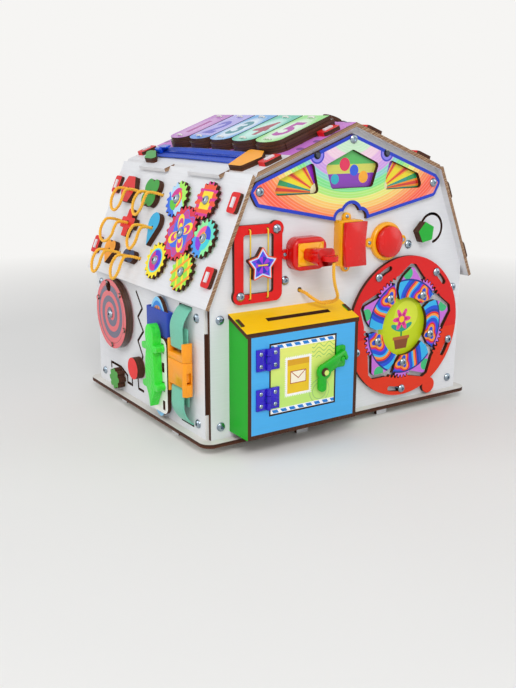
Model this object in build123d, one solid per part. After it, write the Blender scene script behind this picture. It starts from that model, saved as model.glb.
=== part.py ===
from build123d import *
import os
from math import atan2, cos, degrees, floor, hypot, pi, radians, sin, tan

# Wooden activity house for small children: a plywood house whose front, left side and roof
# carry toys to turn, slide, plug, press and open.
#
# Frame: origin at the centre of the base plate's underside, +X to the right of the front wall,
# +Y from the front wall to the back wall, +Z up. Millimetres.
#
# Every face that carries toys has its own plane. Its first coordinate runs to the right for
# somebody who looks at that face from outside, its second one up, its third one outwards.

# ---------------------------------------------------------------- house
PLY = 4.0                   # plywood of the house and of most toys
BASE_LENGTH = 350.0
BASE_DEPTH = 280.0
BASE_CORNER = 12.0
BASE_EDGE_X = 9.0           # base edge to the side wall's face
BASE_EDGE_Y = 10.0          # base edge to the end wall's face
END_WALL_SETBACK = 3.0      # the end wall stops short of the side wall's face
CORNER_GAP = 1.5            # between the end wall's back and the side wall's edge
FOOT_DROP = 9.0             # wall tabs stand out below the base as feet
FOOT_WIDTH = 14.0
FOOT_X = 54.0
FOOT_Y = 62.0
TAB_FIT = 0.15              # clearance all round a tab in its slot

RIDGE_Z = 302.5
KNEE_IN = 55.0              # base edge to the roof's knee
KNEE_Z = 256.5
EAVE_IN = 3.0               # base edge to the eave
EAVE_Z = 136.0
ROOF_OVERHANG = 8.0         # roof past the end wall's face
FINGER_REACH = 8.0          # upper panel's fingers past the knee
FINGERS = ((-89.0, -27.0), (23.0, 84.0))

LOCK_LENGTH = 20.0          # lock plate on each wall tab that comes through the roof
LOCK_WIDTH = 15.0
LOCK_TAB = 10.0
LOCK_PROUD = 1.5
LOCK_V = 36.5               # from the middle of each roof panel

# ---------------------------------------------------------------- fasteners
BOLT_HEAD_R = 4.6
BOLT_HEAD_H = 2.6
BOLT_R = 1.9
BOLT_HOLE_R = 2.15
NUT_R = 3.9
NUT_H = 3.0
PIVOT_R = 2.6               # shoulder that a turning or sliding plate runs on
PIVOT_FIT = 0.2
COLLAR_R = 4.5              # spacer under that plate
LIFT = 1.3                  # plate's underside above the wall or the roof
AIR = 0.2                   # play under a bolt's head and above its collar

BRACKET_LEG = 22.0
BRACKET_HEIGHT = 25.0
BRACKET_WALL = 2.5
BRACKET_NIB_FIT = 0.1
BRACKET_BOTTOMS = (PLY, 110.0)
BRACKET_BOLT_END = 10.0     # bolt from the inner corner along the end wall
BRACKET_BOLT_SIDE = 15.0

WALL_X = BASE_LENGTH / 2 - BASE_EDGE_X
WALL_Y = BASE_DEPTH / 2 - BASE_EDGE_Y
END_HALF = WALL_X - END_WALL_SETBACK
SIDE_HALF = WALL_Y - PLY - CORNER_GAP
ROOF_HALF = WALL_Y + ROOF_OVERHANG
KNEE_X = BASE_LENGTH / 2 - KNEE_IN
EAVE_X = BASE_LENGTH / 2 - EAVE_IN

# ---------------------------------------------------------------- front wall toys
GABLE_HALF = (
    (0.0, 291.5), (KNEE_X - 6.0, 248.5), (KNEE_X + 1.0, 240.0), (KNEE_X - 7.0, 226.0), (20.0, 207.5)
)
GABLE_ROUND = 6.0
GABLE_BOLTS = ((0.0, 286.5), (10.0 - KNEE_X, 240.0), (KNEE_X - 10.0, 240.0))
SCALLOP_R = 11.0            # three lobes above the switch
SCALLOP_SIDE_R = 7.5
SCALLOP_TOP = (0.0, 212.5)
SCALLOP_SIDE_X = 12.5
SCALLOP_SIDE_Z = 209.0
GABLE_WINDOWS = (
    ((0.0, 276.5), (34.0, 262.0), (26.0, 239.0), (-26.0, 239.0), (-34.0, 262.0)),
    ((48.0, 265.5), (KNEE_X - 32.0, 250.5), (KNEE_X - 25.0, 235.5), (41.0, 235.5)),
    ((-48.0, 265.5), (32.0 - KNEE_X, 250.5), (25.0 - KNEE_X, 235.5), (-41.0, 235.5)),
)
WINDOW_ROUND = 4.0
PANE_FIT = 0.2
PANE_THICKNESS = 3.0
LED_X = 11 / 30 * KNEE_X      # stays as far below the gable's edge
LED_Z = 272.0
LED_R = 2.5
LED_HOLE_R = 3.0
LED_PROUD = 1.5
LED_BOARD_SIZE = (2 * KNEE_X - 72.0, 20.0)
LED_BOARD_Z = 249.0
LED_BOARD_BACK = 12.0       # board's rear face behind the wall's front face
LED_BOARD_THICKNESS = 1.6
BATTERY_SIZE = (70.0, 36.0, 18.0)
BATTERY_CENTRE = (-12.0, 128.0)
BATTERY_LID = 1.6

STAR_FRAME_SIZE = (54.0, 74.5)
STAR_FRAME_CENTRE = (9.0 - KNEE_X, 172.75)
STAR_WINDOW_SIZE = (34.0, 56.5)
STAR_EAR_R = 8.0
STAR_EARS = ((20.5, 32.0), (-20.5, -29.5))
STAR_R = 18.0
STAR_INNER_R = 10.5
STAR_THICKNESS = 5.0
STRAND_X = 10.0             # elastic strands left and right of the star's centre
STRAND_Z = 33.0
STRAND_R = 0.8
SOFT_GAP = 0.3              # soft pieces lie this far from what they rest on

SOCKET_SIZE = (40.0, 32.0)
SOCKET_CENTRE = (-57.0, 179.0)
SOCKET_DEPTH = 14.0
SOCKET_ROUND = 10.0
SOCKET_EDGE = 3.0
SOCKET_WALL = 2.5
INSERT_SIZE = (30.0, 22.0)
INSERT_DEPTH = 3.0
INSERT_FIT = 0.1
EAR_R = 5.0
EAR_THICKNESS = 3.0
EAR_REACH = 4.0
PIN_PITCH = 12.0
PIN_R = 2.0
PIN_FIT = 0.3
PIN_LENGTH = 9.0
PLUG_ROOT = (18.0, 12.0)
PLUG_TIP = (20.0, 17.0)
PLUG_LENGTH = 24.0
RING_R = 7.5
RING_HOLE_R = 4.0
RING_THICKNESS = 5.0
CORD_R = 1.75
CORD_HOLE = (-60.0, 142.0)
CORD_HOLE_R = 2.6
CORD_INSIDE = 16.0

SWITCH_SIZE = (28.0, 46.0)
SWITCH_CENTRE = (-4.5, 185.0)
SWITCH_DEPTH = 12.0
SWITCH_WALL = 2.5
ROCKER_INSET = 1.0
ROCKER_PIVOT_H = 9.5
ROCKER_RISE = 2.4           # underside climbs this much from the middle to each end
ROCKER_THICKNESS = 5.0
ROCKER_AXLE_R = 1.5
ROCKER_HUB_R = 2.6

BELL_CENTRE = (49.0, 182.0)
BELL_R = 20.0
BELL_HEIGHT = 5.0
BUTTON_R = 16.0
BUTTON_TRAVEL = 3.0
BUTTON_SIDE = 6.5
BUTTON_DOME = 5.0

ARC_CENTRE = (KNEE_X - 5.5, 191.0)
ARC_R = 15.5
ARC_START = 190.0
ARC_SWEEP = 265.0
GROOVE = 3.0                # slots that knobs run in
STEM_FIT = 0.2
KNOB_GAP = 0.4
WASHER_R = 5.0
WASHER_H = 2.0
PENTAGON_R = 11.5
PENTAGON_HEIGHT = 9.0

PLAIN_BOLTS = ((82.0, 176.0), (-78.0, 153.0), (-6.0, 60.0))

# ---------------------------------------------------------------- letter box
BOX_LEFT = -142.0
BOX_RIGHT = -11.0
BOX_BOTTOM = 10.0
BOX_BACK_TOP = 127.5
BOX_FRONT_TOP = 114.5
BOX_DEPTH = 33.0
COIN_SLOT = (75.0, 5.0)
COIN_SLOT_X = -72.5
LID_TAB = 10.0
DOOR_LEFT = -117.0
DOOR_RIGHT = -39.0
DOOR_BOTTOM = 31.0
DOOR_TOP = 101.0
DOOR_GAP = 0.6
HINGE_ZS = (38.0, 77.0)
HINGE_HEIGHT = 21.0
HINGE_X = -120.0
LEAF_WIDTH = 13.0
LEAF_THICKNESS = 1.6
KNUCKLE_R = 2.2
KNUCKLE_GAP = 0.3
HINGE_PIN_R = 1.0
LATCH_PIVOT = (-56.0, 66.0)
LATCH_R = 8.0
LATCH_PLATE = 3.6
LATCH_HUB_R = 5.5
KEEPER = (-39.0, -28.0, 67.0, 89.0)
KEEPER_THICKNESS = 2.0
PEG = (-33.5, 76.0)
PEG_R = 2.4
PEG_PLAY = 0.8

# ---------------------------------------------------------------- iris
IRIS_CENTRE = (78.0, 87.5)
IRIS_R = 77.0
IRIS_COUNT = 5
IRIS_PHASE = 52.7           # direction of the first pivot
IRIS_PIVOT_R = 40.0
IRIS_GUIDE_R = 70.0
IRIS_WINDOW_R = 32.0
IRIS_MODULE = 1.6
PETAL_TEETH = 20            # of a full circle; each petal carries six
RING_TEETH = 70             # of a full circle; the ring carries five runs of six
IRIS_BACKLASH = 0.25
IRIS_FLANK = 0.55           # half a tooth's growth from pitch line to root
IRIS_SWING = 14.0
PETAL_TIP = (66.0, 30.3)    # radius and direction, seen from the ring's centre
PETAL_BACK = ((56.0, 42.0), (49.5, 49.0), (41.5, 53.2), (33.4, 53.2))
PETAL_HEEL = ((8.2, -112.0), (10.3, -92.0), (12.2, -76.0), (13.4, -62.0))
PETAL_TIP_CUT = 2.5
PETAL_ARC = (-7.0, 53.2)
POCKET = ((58.05, 11.5), (68.5, 27.0), (68.5, 33.5), (58.05, 48.5))
HANDLE_DIRECTION = -61.7
HANDLE_REACH = 83.0
HANDLE_R = 9.0

# ---------------------------------------------------------------- left wall toys
MAZE_CENTRE = (-67.0, 94.0)
MAZE_R = 39.0
MAZE_LAYERS = 2.8
MAZE_RIM = 5.0
MAZE_TRACK = 4.6            # width of the spiral groove
MAZE_TURNS = 2.25
MAZE_BALL_STEP = 15         # corner of the spiral that the loose ball rests at
MAZE_SCREW_HEAD = 3.2
MAZE_SCREW_HEIGHT = 1.6
MAZE_HOLE = (-4.0, 31.0)
MAZE_HOLE_R = 6.0
MAZE_SCREW_R = 35.5
MAZE_SCREWS = (45.0, -20.0, -90.0, 158.0, 105.0)
BALL_R = 2.8
ZIGZAG = ((-20, 126), (-7, 110), (-18, 99), (-6, 85), (-20, 72), (-9, 57), (-23, 29), (-22, 17), (-10, 17))
ZIGZAG_RUN = 5              # the knob stands on this run of the zigzag
ZIGZAG_AT = 0.5
ROUND_KNOB_R = 12.0
ROUND_KNOB_HEIGHT = 9.0
COMB = ((-93, 25), (-93, 31), (-66, 31), (-50, 25), (-50, 17), (-38, 17), (-38, 25))
COMB_STUB = ((-66, 31), (-66, 17))
STAR_KNOB_AT = (-66.0, 19.0)
STAR_KNOB_R = 12.0
STAR_KNOB_LOBES = 8
STAR_KNOB_HEIGHT = 9.0

OVAL_CENTRE = (43.0, 69.5)
OVAL_SIZE = (48.0, 126.0)
OVAL_LIFT = 3.0
BAND_Z = (93.0, 120.0)
BAND_THICKNESS = 1.2
LADDER_CENTRE = (48.0, 53.5)
LADDER_SIZE = (40.0, 79.0)
LADDER_ZS = (23.0, 43.0, 63.0, 83.0)
LADDER_COLUMN = 12.0
LADDER_SLOT = (5.0, 10.0)
FOOT_PEG = (3.6, 8.0)
CROC_GAP = 0.3
CROC_THICKNESS = 9.0
PEG_DEPTH = 3.6

STRAP_U = 89.5
STRAP_WIDTH = 25.0
STRAP_THICKNESS = 1.4
STRAP_SLOT_ZS = (12.0, 130.0)
STRAP_SLOT = 3.4
BUCKLE_U = 89.5
BUCKLE_WIDTH = 36.0
BUCKLE_LOW = 2.0
BUCKLE_THICKNESS = 11.0
BUCKLE_BOTTOM = 44.0
BUCKLE_JOINT = 78.0
BUCKLE_TOP = 97.0
BUCKLE_WALL = 2.2
BUCKLE_FIT = 0.35
PRONG_WIDTH = 5.0
PRONG_LENGTH = 20.0
BAR_R = 1.6

# ---------------------------------------------------------------- roof toys
GEAR_MODULE = 2.25
GEAR_TEETH = 24
PINION_TEETH = 16
GEAR_ADDENDUM = 1.4
GEAR_DEDENDUM = 1.6
GEAR_BACKLASH = 0.2
GEAR_FLANK = 0.6
GEAR_AT = (55.0, -2.4)
PINION_DIRECTIONS = (0.0, 54.0, 133.0, -133.0, -54.0)

SORTER_THICKNESS = 6.0
SORTER_HOLE_R = 2.3
SORTER_TRAVEL = 6.0
ROPE_HEIGHT = 17.5          # loop's height above the roof
ROPE_DROP = 28.0
SORTERS = {
    "sorter_red": ((-90.0, 32.6), (-69.0, 32.6)),
    "sorter_green": ((-35.0, 32.6), (-17.0, 33.0)),
    "sorter_cross": ((-63.0, -4.4), (-91.0, -3.4)),
    "sorter_sky": ((-4.0, -3.9), (-21.0, -3.4)),
    "sorter_orange": ((-85.0, -39.0), (-69.0, -38.6)),
    "sorter_navy": ((-35.0, -39.0), (-18.5, -38.0)),
}

XYLO_CENTRE = (7.5, 15.0)
XYLO_SIZE = (2 * ROOF_HALF - 51.0, 74.0)
XYLO_BASE = 8.0
BAR_COUNT = 5
BAR_GAP = 2.5
BAR_PITCH = (XYLO_SIZE[0] - BAR_GAP) / BAR_COUNT
BAR_SIZE = (BAR_PITCH - BAR_GAP, 70.0)
STITCH_V = 28.0
STITCH_LENGTH = 9.0
STITCH_R = 1.0
ZIP_U = (38.0 - ROOF_HALF, ROOF_HALF - 54.0)
ZIP_V = (-48.0, -22.0)
TAPE_THICKNESS = 1.2
ZIP_TEETH = (5.0, 1.6)
SLIDER_SIZE = (14.0, 12.0, 4.0)
SLIDER_U = ZIP_U[0] + 8.0
PULL_SIZE = (20.0, 7.0, 1.6)
GREEN_END = (                # from the zip's back end and from its front end
    (ZIP_U[0] - 14.0, -42.5), (ZIP_U[0] + 8.0, -42.5), (ZIP_U[0] + 44.0, -62.5), (ZIP_U[0] + 16.0, -62.5)
)
YELLOW_END = (
    (ZIP_U[1] - 8.0, -23.0), (ZIP_U[1] + 20.0, -25.0), (ZIP_U[1] + 34.0, -38.0), (ZIP_U[1] + 30.0, -60.0),
    (ZIP_U[1] + 6.0, -60.0),
)

SPINNER_AT = (-82.0, 36.0)
SPINNER_ARM = 17.0
SPINNER_LOBE_R = 10.0
SPINNER_HUB_R = 11.0
SPINNER_THICKNESS = 7.0
SPINNER_LOBES = 3

# ---------------------------------------------------------------- planes of the toy faces
UPPER_LENGTH = hypot(KNEE_X, RIDGE_Z - KNEE_Z)
LOWER_LENGTH = hypot(EAVE_X - KNEE_X, KNEE_Z - EAVE_Z)
UPPER_DOWN = (KNEE_X / UPPER_LENGTH, (KNEE_Z - RIDGE_Z) / UPPER_LENGTH)
LOWER_DOWN = ((EAVE_X - KNEE_X) / LOWER_LENGTH, (EAVE_Z - KNEE_Z) / LOWER_LENGTH)
UPPER_NORMAL = (-UPPER_DOWN[1], UPPER_DOWN[0])
LOWER_NORMAL = (-LOWER_DOWN[1], LOWER_DOWN[0])

FRONT = Plane((0, -WALL_Y, 0), x_dir=(1, 0, 0), z_dir=(0, -1, 0))
LEFT = Plane((-WALL_X, 0, 0), x_dir=(0, -1, 0), z_dir=(-1, 0, 0))
UPPER = Plane(
    (-KNEE_X / 2, 0, (RIDGE_Z + KNEE_Z) / 2),
    x_dir=(0, -1, 0),
    z_dir=(-UPPER_NORMAL[0], 0, UPPER_NORMAL[1]),
)
LOWER = Plane(
    (-(KNEE_X + EAVE_X) / 2, 0, (KNEE_Z + EAVE_Z) / 2),
    x_dir=(0, -1, 0),
    z_dir=(-LOWER_NORMAL[0], 0, LOWER_NORMAL[1]),
)


# ---------------------------------------------------------------- helpers
def raised(plane, outline, low, high):
    """Extrude a flat outline from height low to height high above a toy face."""
    return extrude(plane.offset(low) * outline, high - low, dir=plane.z_dir)


def at(plane, u, v, h, solid):
    """Set a solid made at the origin on a toy face."""
    return plane * Pos(u, v, h) * solid


def polar(radius, angle, centre=(0.0, 0.0)):
    return (centre[0] + radius * cos(radians(angle)), centre[1] + radius * sin(radians(angle)))


def outline(points):
    """Face inside a closed chain of points, its normal towards the reader."""
    area = sum(x0 * y1 - x1 * y0 for (x0, y0), (x1, y1) in zip(points, points[1:] + points[:1]))
    return Polygon(*(points if area > 0 else points[::-1]), align=None)


def mirrored(solid):
    """The same piece on the right-hand side of the house."""
    return mirror(solid, about=Plane.YZ)


def group(solids):
    """Separate solids that share one node."""
    return Compound(children=[piece for solid in solids for piece in solid.solids()])


def groove(points, width):
    """Slot of even width along a chain of points."""
    runs = []
    for (u0, v0), (u1, v1) in zip(points, points[1:]):
        length = hypot(u1 - u0, v1 - v0)
        turn = degrees(atan2(v1 - v0, u1 - u0))
        runs.append(Pos((u0 + u1) / 2, (v0 + v1) / 2) * Rot(0, 0, turn) * SlotCenterToCenter(length, width))
    return Sketch() + runs


def arc_groove(centre, radius, start, sweep, width):
    """Slot of even width along an arc that starts at an angle and sweeps from it."""
    ring = Circle(radius + width / 2) - Circle(radius - width / 2)
    reach = 2 * radius
    steps = 6
    wedge = [(0.0, 0.0)] + [polar(reach, start + sweep * step / steps) for step in range(steps + 1)]
    ends = [Pos(*polar(radius, angle)) * Circle(width / 2) for angle in (start, start + sweep)]
    return Pos(*centre) * ((ring & outline(wedge)) + ends)


def dome_bolt(grip, reach=0.0):
    """Dome-headed bolt and nut. The nut closes the grip below height 0, the head sits at reach."""
    head = Pos(0, 0, reach) * extrude(RegularPolygon(BOLT_HEAD_R, 8), BOLT_HEAD_H, taper=32)
    shank = Pos(0, 0, -grip - NUT_H) * extrude(RegularPolygon(BOLT_R, 6), grip + NUT_H + reach)
    nut = Pos(0, 0, -grip - NUT_H) * extrude(RegularPolygon(NUT_R, 6), NUT_H)
    return head + shank + nut


def pivot_bolt(plate):
    """Bolt with a collar under a moving plate and a shoulder that the plate runs on."""
    seat = LIFT + plate + AIR
    collar = extrude(RegularPolygon(COLLAR_R, 8), LIFT - AIR)
    shoulder = extrude(Circle(PIVOT_R), seat)
    return dome_bolt(PLY, seat) + collar + shoulder


def stemmed_knob(shape, height, wall):
    """Knob on a stem through a slot in the wall, held by a washer behind it."""
    knob = Pos(0, 0, KNOB_GAP) * extrude(shape, height)
    stem_r = GROOVE / 2 - STEM_FIT
    stem = Pos(0, 0, -wall - KNOB_GAP) * extrude(RegularPolygon(stem_r, 8), wall + 2 * KNOB_GAP)
    washer = Pos(0, 0, -wall - KNOB_GAP - WASHER_H) * extrude(RegularPolygon(WASHER_R, 8), WASHER_H)
    return knob + stem + washer


def tooth_run(centre, root, tip, pitch, half_pitch_width, angles):
    """Corner points of trapezoid teeth round a centre, one tooth at each angle."""
    half_root = degrees((half_pitch_width + IRIS_FLANK) / root)
    half_tip = degrees((half_pitch_width - IRIS_FLANK) / tip)
    points = []
    for angle in angles:
        points += [
            polar(root, angle - half_root, centre),
            polar(tip, angle - half_tip, centre),
            polar(tip, angle + half_tip, centre),
            polar(root, angle + half_root, centre),
        ]
    return points


def roof_corner(depth):
    """(x, z) of ridge, knee and eave on the line that lies depth inside the roof's face."""
    ridge = (0.0, RIDGE_Z - depth / UPPER_NORMAL[1])
    lean = 1 + UPPER_NORMAL[0] * LOWER_NORMAL[0] + UPPER_NORMAL[1] * LOWER_NORMAL[1]
    knee = (
        KNEE_X - depth * (UPPER_NORMAL[0] + LOWER_NORMAL[0]) / lean,
        KNEE_Z - depth * (UPPER_NORMAL[1] + LOWER_NORMAL[1]) / lean,
    )
    eave = (EAVE_X - depth * LOWER_NORMAL[0], EAVE_Z - depth * LOWER_NORMAL[1])
    return ridge, knee, eave


def under_roof(x, depth=PLY):
    """Height of the steep roof panel's inner face above a point of the wall."""
    knee = roof_corner(depth)[1]
    return knee[1] + (x - knee[0]) * LOWER_DOWN[1] / LOWER_DOWN[0]


# ---------------------------------------------------------------- house
def base_plate():
    plate = extrude(RectangleRounded(BASE_LENGTH, BASE_DEPTH, BASE_CORNER), PLY)
    slot = FOOT_WIDTH + 2 * TAB_FIT
    wide = PLY + 2 * TAB_FIT
    for side in (-1, 1):
        for place in (-1, 1):
            plate -= Pos(place * FOOT_X, side * (WALL_Y - PLY / 2), PLY / 2) * Box(slot, wide, 3 * PLY)
            plate -= Pos(side * (WALL_X - PLY / 2), place * FOOT_Y, PLY / 2) * Box(wide, slot, 3 * PLY)
    return plate


def lock_tabs(side):
    """Tabs of an end wall that come out through the roof panels and their lock plates."""
    height = 2 * PLY + LOCK_PROUD + PLY
    tabs = []
    for plane in (UPPER, LOWER):
        for v in (-LOCK_V, LOCK_V):
            u = -side * (WALL_Y - PLY / 2)
            tab = at(plane, u, v, PLY + LOCK_PROUD - height / 2, Box(PLY, LOCK_TAB, height))
            tabs += [tab, mirrored(tab)]
    return tabs


def end_wall(side):
    """Gable wall without openings. side is -1 for the front and 1 for the back."""
    ridge, knee, _ = roof_corner(PLY)
    edge = (END_HALF, under_roof(END_HALF))
    half = [(END_HALF, PLY), edge, knee]
    points = half + [ridge] + [(-x, z) for x, z in reversed(half)]
    wall = raised(FRONT, outline(points), -PLY, 0)
    if side > 0:
        wall = mirror(wall, about=Plane.XZ)
    for place in (-1, 1):
        wall += Pos(place * FOOT_X, side * (WALL_Y - PLY / 2), (PLY - FOOT_DROP) / 2) * Box(
            FOOT_WIDTH, PLY, PLY + FOOT_DROP
        )
    for tab in lock_tabs(side):
        wall += tab
    for x, z in bracket_bolts_end():
        wall -= at(FRONT, x, z, 0, Cylinder(BOLT_HOLE_R, 3 * PLY)) if side < 0 else mirror(
            at(FRONT, x, z, 0, Cylinder(BOLT_HOLE_R, 3 * PLY)), about=Plane.XZ
        )
    return wall


def front_wall():
    wall = end_wall(-1)
    cuts = [window_outline(points, 0.0) for points in GABLE_WINDOWS]
    cuts += [Pos(x, LED_Z) * Circle(LED_HOLE_R) for x in (-LED_X, LED_X)]
    cuts += [Pos(x, z) * Circle(BOLT_HOLE_R) for x, z in GABLE_BOLTS + PLAIN_BOLTS + star_ears()]
    cuts += [Pos(*point) * Circle(BOLT_HOLE_R) for point in iris_pivots() + iris_guides()]
    cuts.append(arc_groove(ARC_CENTRE, ARC_R, ARC_START, -ARC_SWEEP, GROOVE))
    cuts.append(Pos(*CORD_HOLE) * Circle(CORD_HOLE_R))
    return wall - raised(FRONT, Sketch() + cuts, -2 * PLY, PLY)


def side_wall():
    """Left wall with the slots of its knobs and of the strap."""
    top = under_roof(WALL_X) - 0.05
    wall = Pos(-WALL_X + PLY / 2, 0, (PLY + top) / 2) * Box(PLY, 2 * SIDE_HALF, top - PLY)
    for place in (-1, 1):
        wall += Pos(-WALL_X + PLY / 2, place * FOOT_Y, (PLY - FOOT_DROP) / 2) * Box(
            PLY, FOOT_WIDTH, PLY + FOOT_DROP
        )
    bolts = [Pos(u, v) * Circle(BOLT_HOLE_R) for u, v in bracket_bolts_side()]
    return wall - raised(LEFT, Sketch() + bolts, -2 * PLY, PLY)


def left_wall():
    cuts = [groove(ZIGZAG, GROOVE), groove(COMB, GROOVE), groove(COMB_STUB, GROOVE)]
    cuts += [Pos(STRAP_U, z) * Rectangle(STRAP_WIDTH + 1, STRAP_SLOT) for z in STRAP_SLOT_ZS]
    cuts.append(Pos(*MAZE_CENTRE) * Circle(BOLT_HOLE_R))
    return side_wall() - raised(LEFT, Sketch() + cuts, -2 * PLY, PLY)


def roof_upper():
    """Shallow left panel: mitred at the ridge, with fingers that reach over the steep panel."""
    ridge, knee, _ = roof_corner(PLY)
    outer = (-KNEE_X - FINGER_REACH * UPPER_DOWN[0], KNEE_Z + FINGER_REACH * UPPER_DOWN[1])
    inner = (outer[0] + PLY * UPPER_NORMAL[0], outer[1] - PLY * UPPER_NORMAL[1])
    strip = outline([(0, RIDGE_Z), outer, inner, ridge])
    panel = extrude(Plane.XZ * strip, ROOF_HALF, both=True)
    return panel - [gap & panel for gap in steep_side_cuts()]


def steep_side_cuts():
    """What lies outside the steep panel's inner face, everywhere between the fingers."""
    _, knee, _ = roof_corner(PLY)
    far = 3 * FINGER_REACH
    run = (-LOWER_DOWN[0] * far, LOWER_DOWN[1] * far)
    out = (-LOWER_NORMAL[0] * far, LOWER_NORMAL[1] * far)
    base = (-knee[0], knee[1])
    corners = [
        (base[0] - run[0], base[1] - run[1]),
        (base[0] + run[0], base[1] + run[1]),
        (base[0] + run[0] + out[0], base[1] + run[1] + out[1]),
        (base[0] - run[0] + out[0], base[1] - run[1] + out[1]),
    ]
    edges = [-ROOF_HALF] + [y for finger in FINGERS for y in finger] + [ROOF_HALF]
    cuts = []
    for low, high in zip(edges[::2], edges[1::2]):
        slab = extrude(Plane.XZ * outline(corners), (high - low) / 2, both=True)
        cuts.append(Pos(0, (low + high) / 2, 0) * slab)
    return cuts


def roof_lower():
    """Steep left panel, notched where the shallow panel's fingers pass over it."""
    _, knee, eave = roof_corner(PLY)
    strip = outline([(-KNEE_X, KNEE_Z), (-EAVE_X, EAVE_Z), (-eave[0], eave[1]), (-knee[0], knee[1])])
    panel = extrude(Plane.XZ * strip, ROOF_HALF, both=True)
    reach = roof_finger_tops()
    return panel - reach


def roof_finger_tops():
    """The fingers themselves, cut out of the steep panel."""
    outer = (-KNEE_X - FINGER_REACH * UPPER_DOWN[0], KNEE_Z + FINGER_REACH * UPPER_DOWN[1])
    inner = (outer[0] + PLY * UPPER_NORMAL[0], outer[1] - PLY * UPPER_NORMAL[1])
    back = (-KNEE_X + FINGER_REACH, KNEE_Z + FINGER_REACH * (RIDGE_Z - KNEE_Z) / KNEE_X)
    back_inner = (back[0] + PLY * UPPER_NORMAL[0], back[1] - PLY * UPPER_NORMAL[1])
    strip = outline([back, outer, inner, back_inner])
    tops = []
    for low, high in FINGERS:
        slab = extrude(Plane.XZ * strip, (high - low) / 2, both=True)
        tops.append(Pos(0, (low + high) / 2, 0) * slab)
    return tops


def lock_slots(plane):
    size = (PLY + 2 * TAB_FIT, LOCK_TAB + 2 * TAB_FIT)
    return [
        Pos(side * (WALL_Y - PLY / 2), v) * Rectangle(*size)
        for side in (-1, 1)
        for v in (-LOCK_V, LOCK_V)
    ]


def roof_panels():
    upper = roof_upper() - raised(UPPER, Sketch() + lock_slots(UPPER), -2 * PLY, PLY)
    lower = roof_lower() - raised(LOWER, Sketch() + lock_slots(LOWER), -2 * PLY, PLY)
    ropes = [Pos(*point) * Circle(SORTER_HOLE_R) for pair in SORTERS.values() for point in pair]
    gears = [Pos(*point) * Circle(BOLT_HOLE_R) for point in gear_centres()]
    spinner_hole = at(UPPER, *SPINNER_AT_LEFT, 0, Cylinder(BOLT_HOLE_R, 4 * PLY))
    plain = [mirrored(upper - spinner_hole), mirrored(lower)]
    return group([upper, lower - raised(LOWER, Sketch() + ropes + gears, -2 * PLY, PLY)] + plain)


def lock_plates():
    plates = []
    for plane in (UPPER, LOWER):
        for side in (-1, 1):
            for v in (-LOCK_V, LOCK_V):
                shape = RectangleRounded(LOCK_WIDTH, LOCK_LENGTH, 3) - Rectangle(
                    PLY + 2 * TAB_FIT, LOCK_TAB + 2 * TAB_FIT
                )
                plate = raised(plane, Pos(side * (WALL_Y - PLY / 2), v) * shape, 0, PLY)
                plates += [plate, mirrored(plate)]
    return group(plates)


def bracket_bolts_end():
    x = WALL_X - PLY - BRACKET_BOLT_END
    return [(side * x, z + BRACKET_HEIGHT / 2) for side in (-1, 1) for z in BRACKET_BOTTOMS]


def bracket_bolts_side():
    y = WALL_Y - PLY - BRACKET_BOLT_SIDE
    return [(side * y, z + BRACKET_HEIGHT / 2) for side in (-1, 1) for z in BRACKET_BOTTOMS]


def corner_brackets():
    """Angles inside the corners, with a gusset and a nib that shows in the corner gap."""
    x = WALL_X - PLY
    y = WALL_Y - PLY
    legs = outline(
        [
            (-x, -y),
            (-x + BRACKET_LEG, -y),
            (-x + BRACKET_LEG, -y + BRACKET_WALL),
            (-x + BRACKET_WALL, -y + BRACKET_WALL),
            (-x + BRACKET_WALL, -y + BRACKET_LEG),
            (-x, -y + BRACKET_LEG),
        ]
    )
    nib = Pos(-x - PLY / 2, -y + CORNER_GAP / 2) * Rectangle(PLY, CORNER_GAP - 2 * BRACKET_NIB_FIT)
    web = outline([(-x, -y), (-x + BRACKET_LEG * 0.7, -y), (-x, -y + BRACKET_LEG * 0.7)])
    angle = extrude(legs + nib, BRACKET_HEIGHT)
    for low in (0, BRACKET_HEIGHT - BRACKET_WALL):
        angle += Pos(0, 0, low) * extrude(web, BRACKET_WALL)
    hole = Cylinder(BOLT_HOLE_R, 4 * BRACKET_WALL)
    angle -= Pos(-x + BRACKET_BOLT_END, -y, BRACKET_HEIGHT / 2) * Rot(90, 0, 0) * hole
    angle -= Pos(-x, -y + BRACKET_BOLT_SIDE, BRACKET_HEIGHT / 2) * Rot(0, 90, 0) * hole
    brackets = []
    for bottom in BRACKET_BOTTOMS:
        front = Pos(0, 0, bottom) * angle
        back = mirror(front, about=Plane.XZ)
        brackets += [front, back, mirrored(front), mirrored(back)]
    return group(brackets)


def dome_bolts():
    """Every bolt that stays with the house, with its nut."""
    bolts = []
    for x, z in bracket_bolts_end():
        bolt = at(FRONT, x, z, 0, dome_bolt(PLY + BRACKET_WALL))
        bolts += [bolt, mirror(bolt, about=Plane.XZ)]
    for u, v in bracket_bolts_side():
        bolt = at(LEFT, u, v, 0, dome_bolt(PLY + BRACKET_WALL))
        bolts += [bolt, mirrored(bolt)]
    bolts += [at(FRONT, x, z, 0, dome_bolt(PLY)) for x, z in PLAIN_BOLTS]
    bolts += [at(FRONT, x, z, PLY, dome_bolt(2 * PLY)) for x, z in GABLE_BOLTS + star_ears()]
    bolts += [at(FRONT, *point, 0, pivot_bolt(PLY)) for point in iris_pivots() + iris_guides()]
    bolts += [at(LOWER, *point, 0, pivot_bolt(PLY)) for point in gear_centres()]
    bolts.append(mirrored(at(UPPER, *SPINNER_AT_LEFT, 0, pivot_bolt(SPINNER_THICKNESS))))
    bolts.append(at(LEFT, *MAZE_CENTRE, 0, pivot_bolt(3 * MAZE_LAYERS)))
    return group(bolts)


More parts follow.
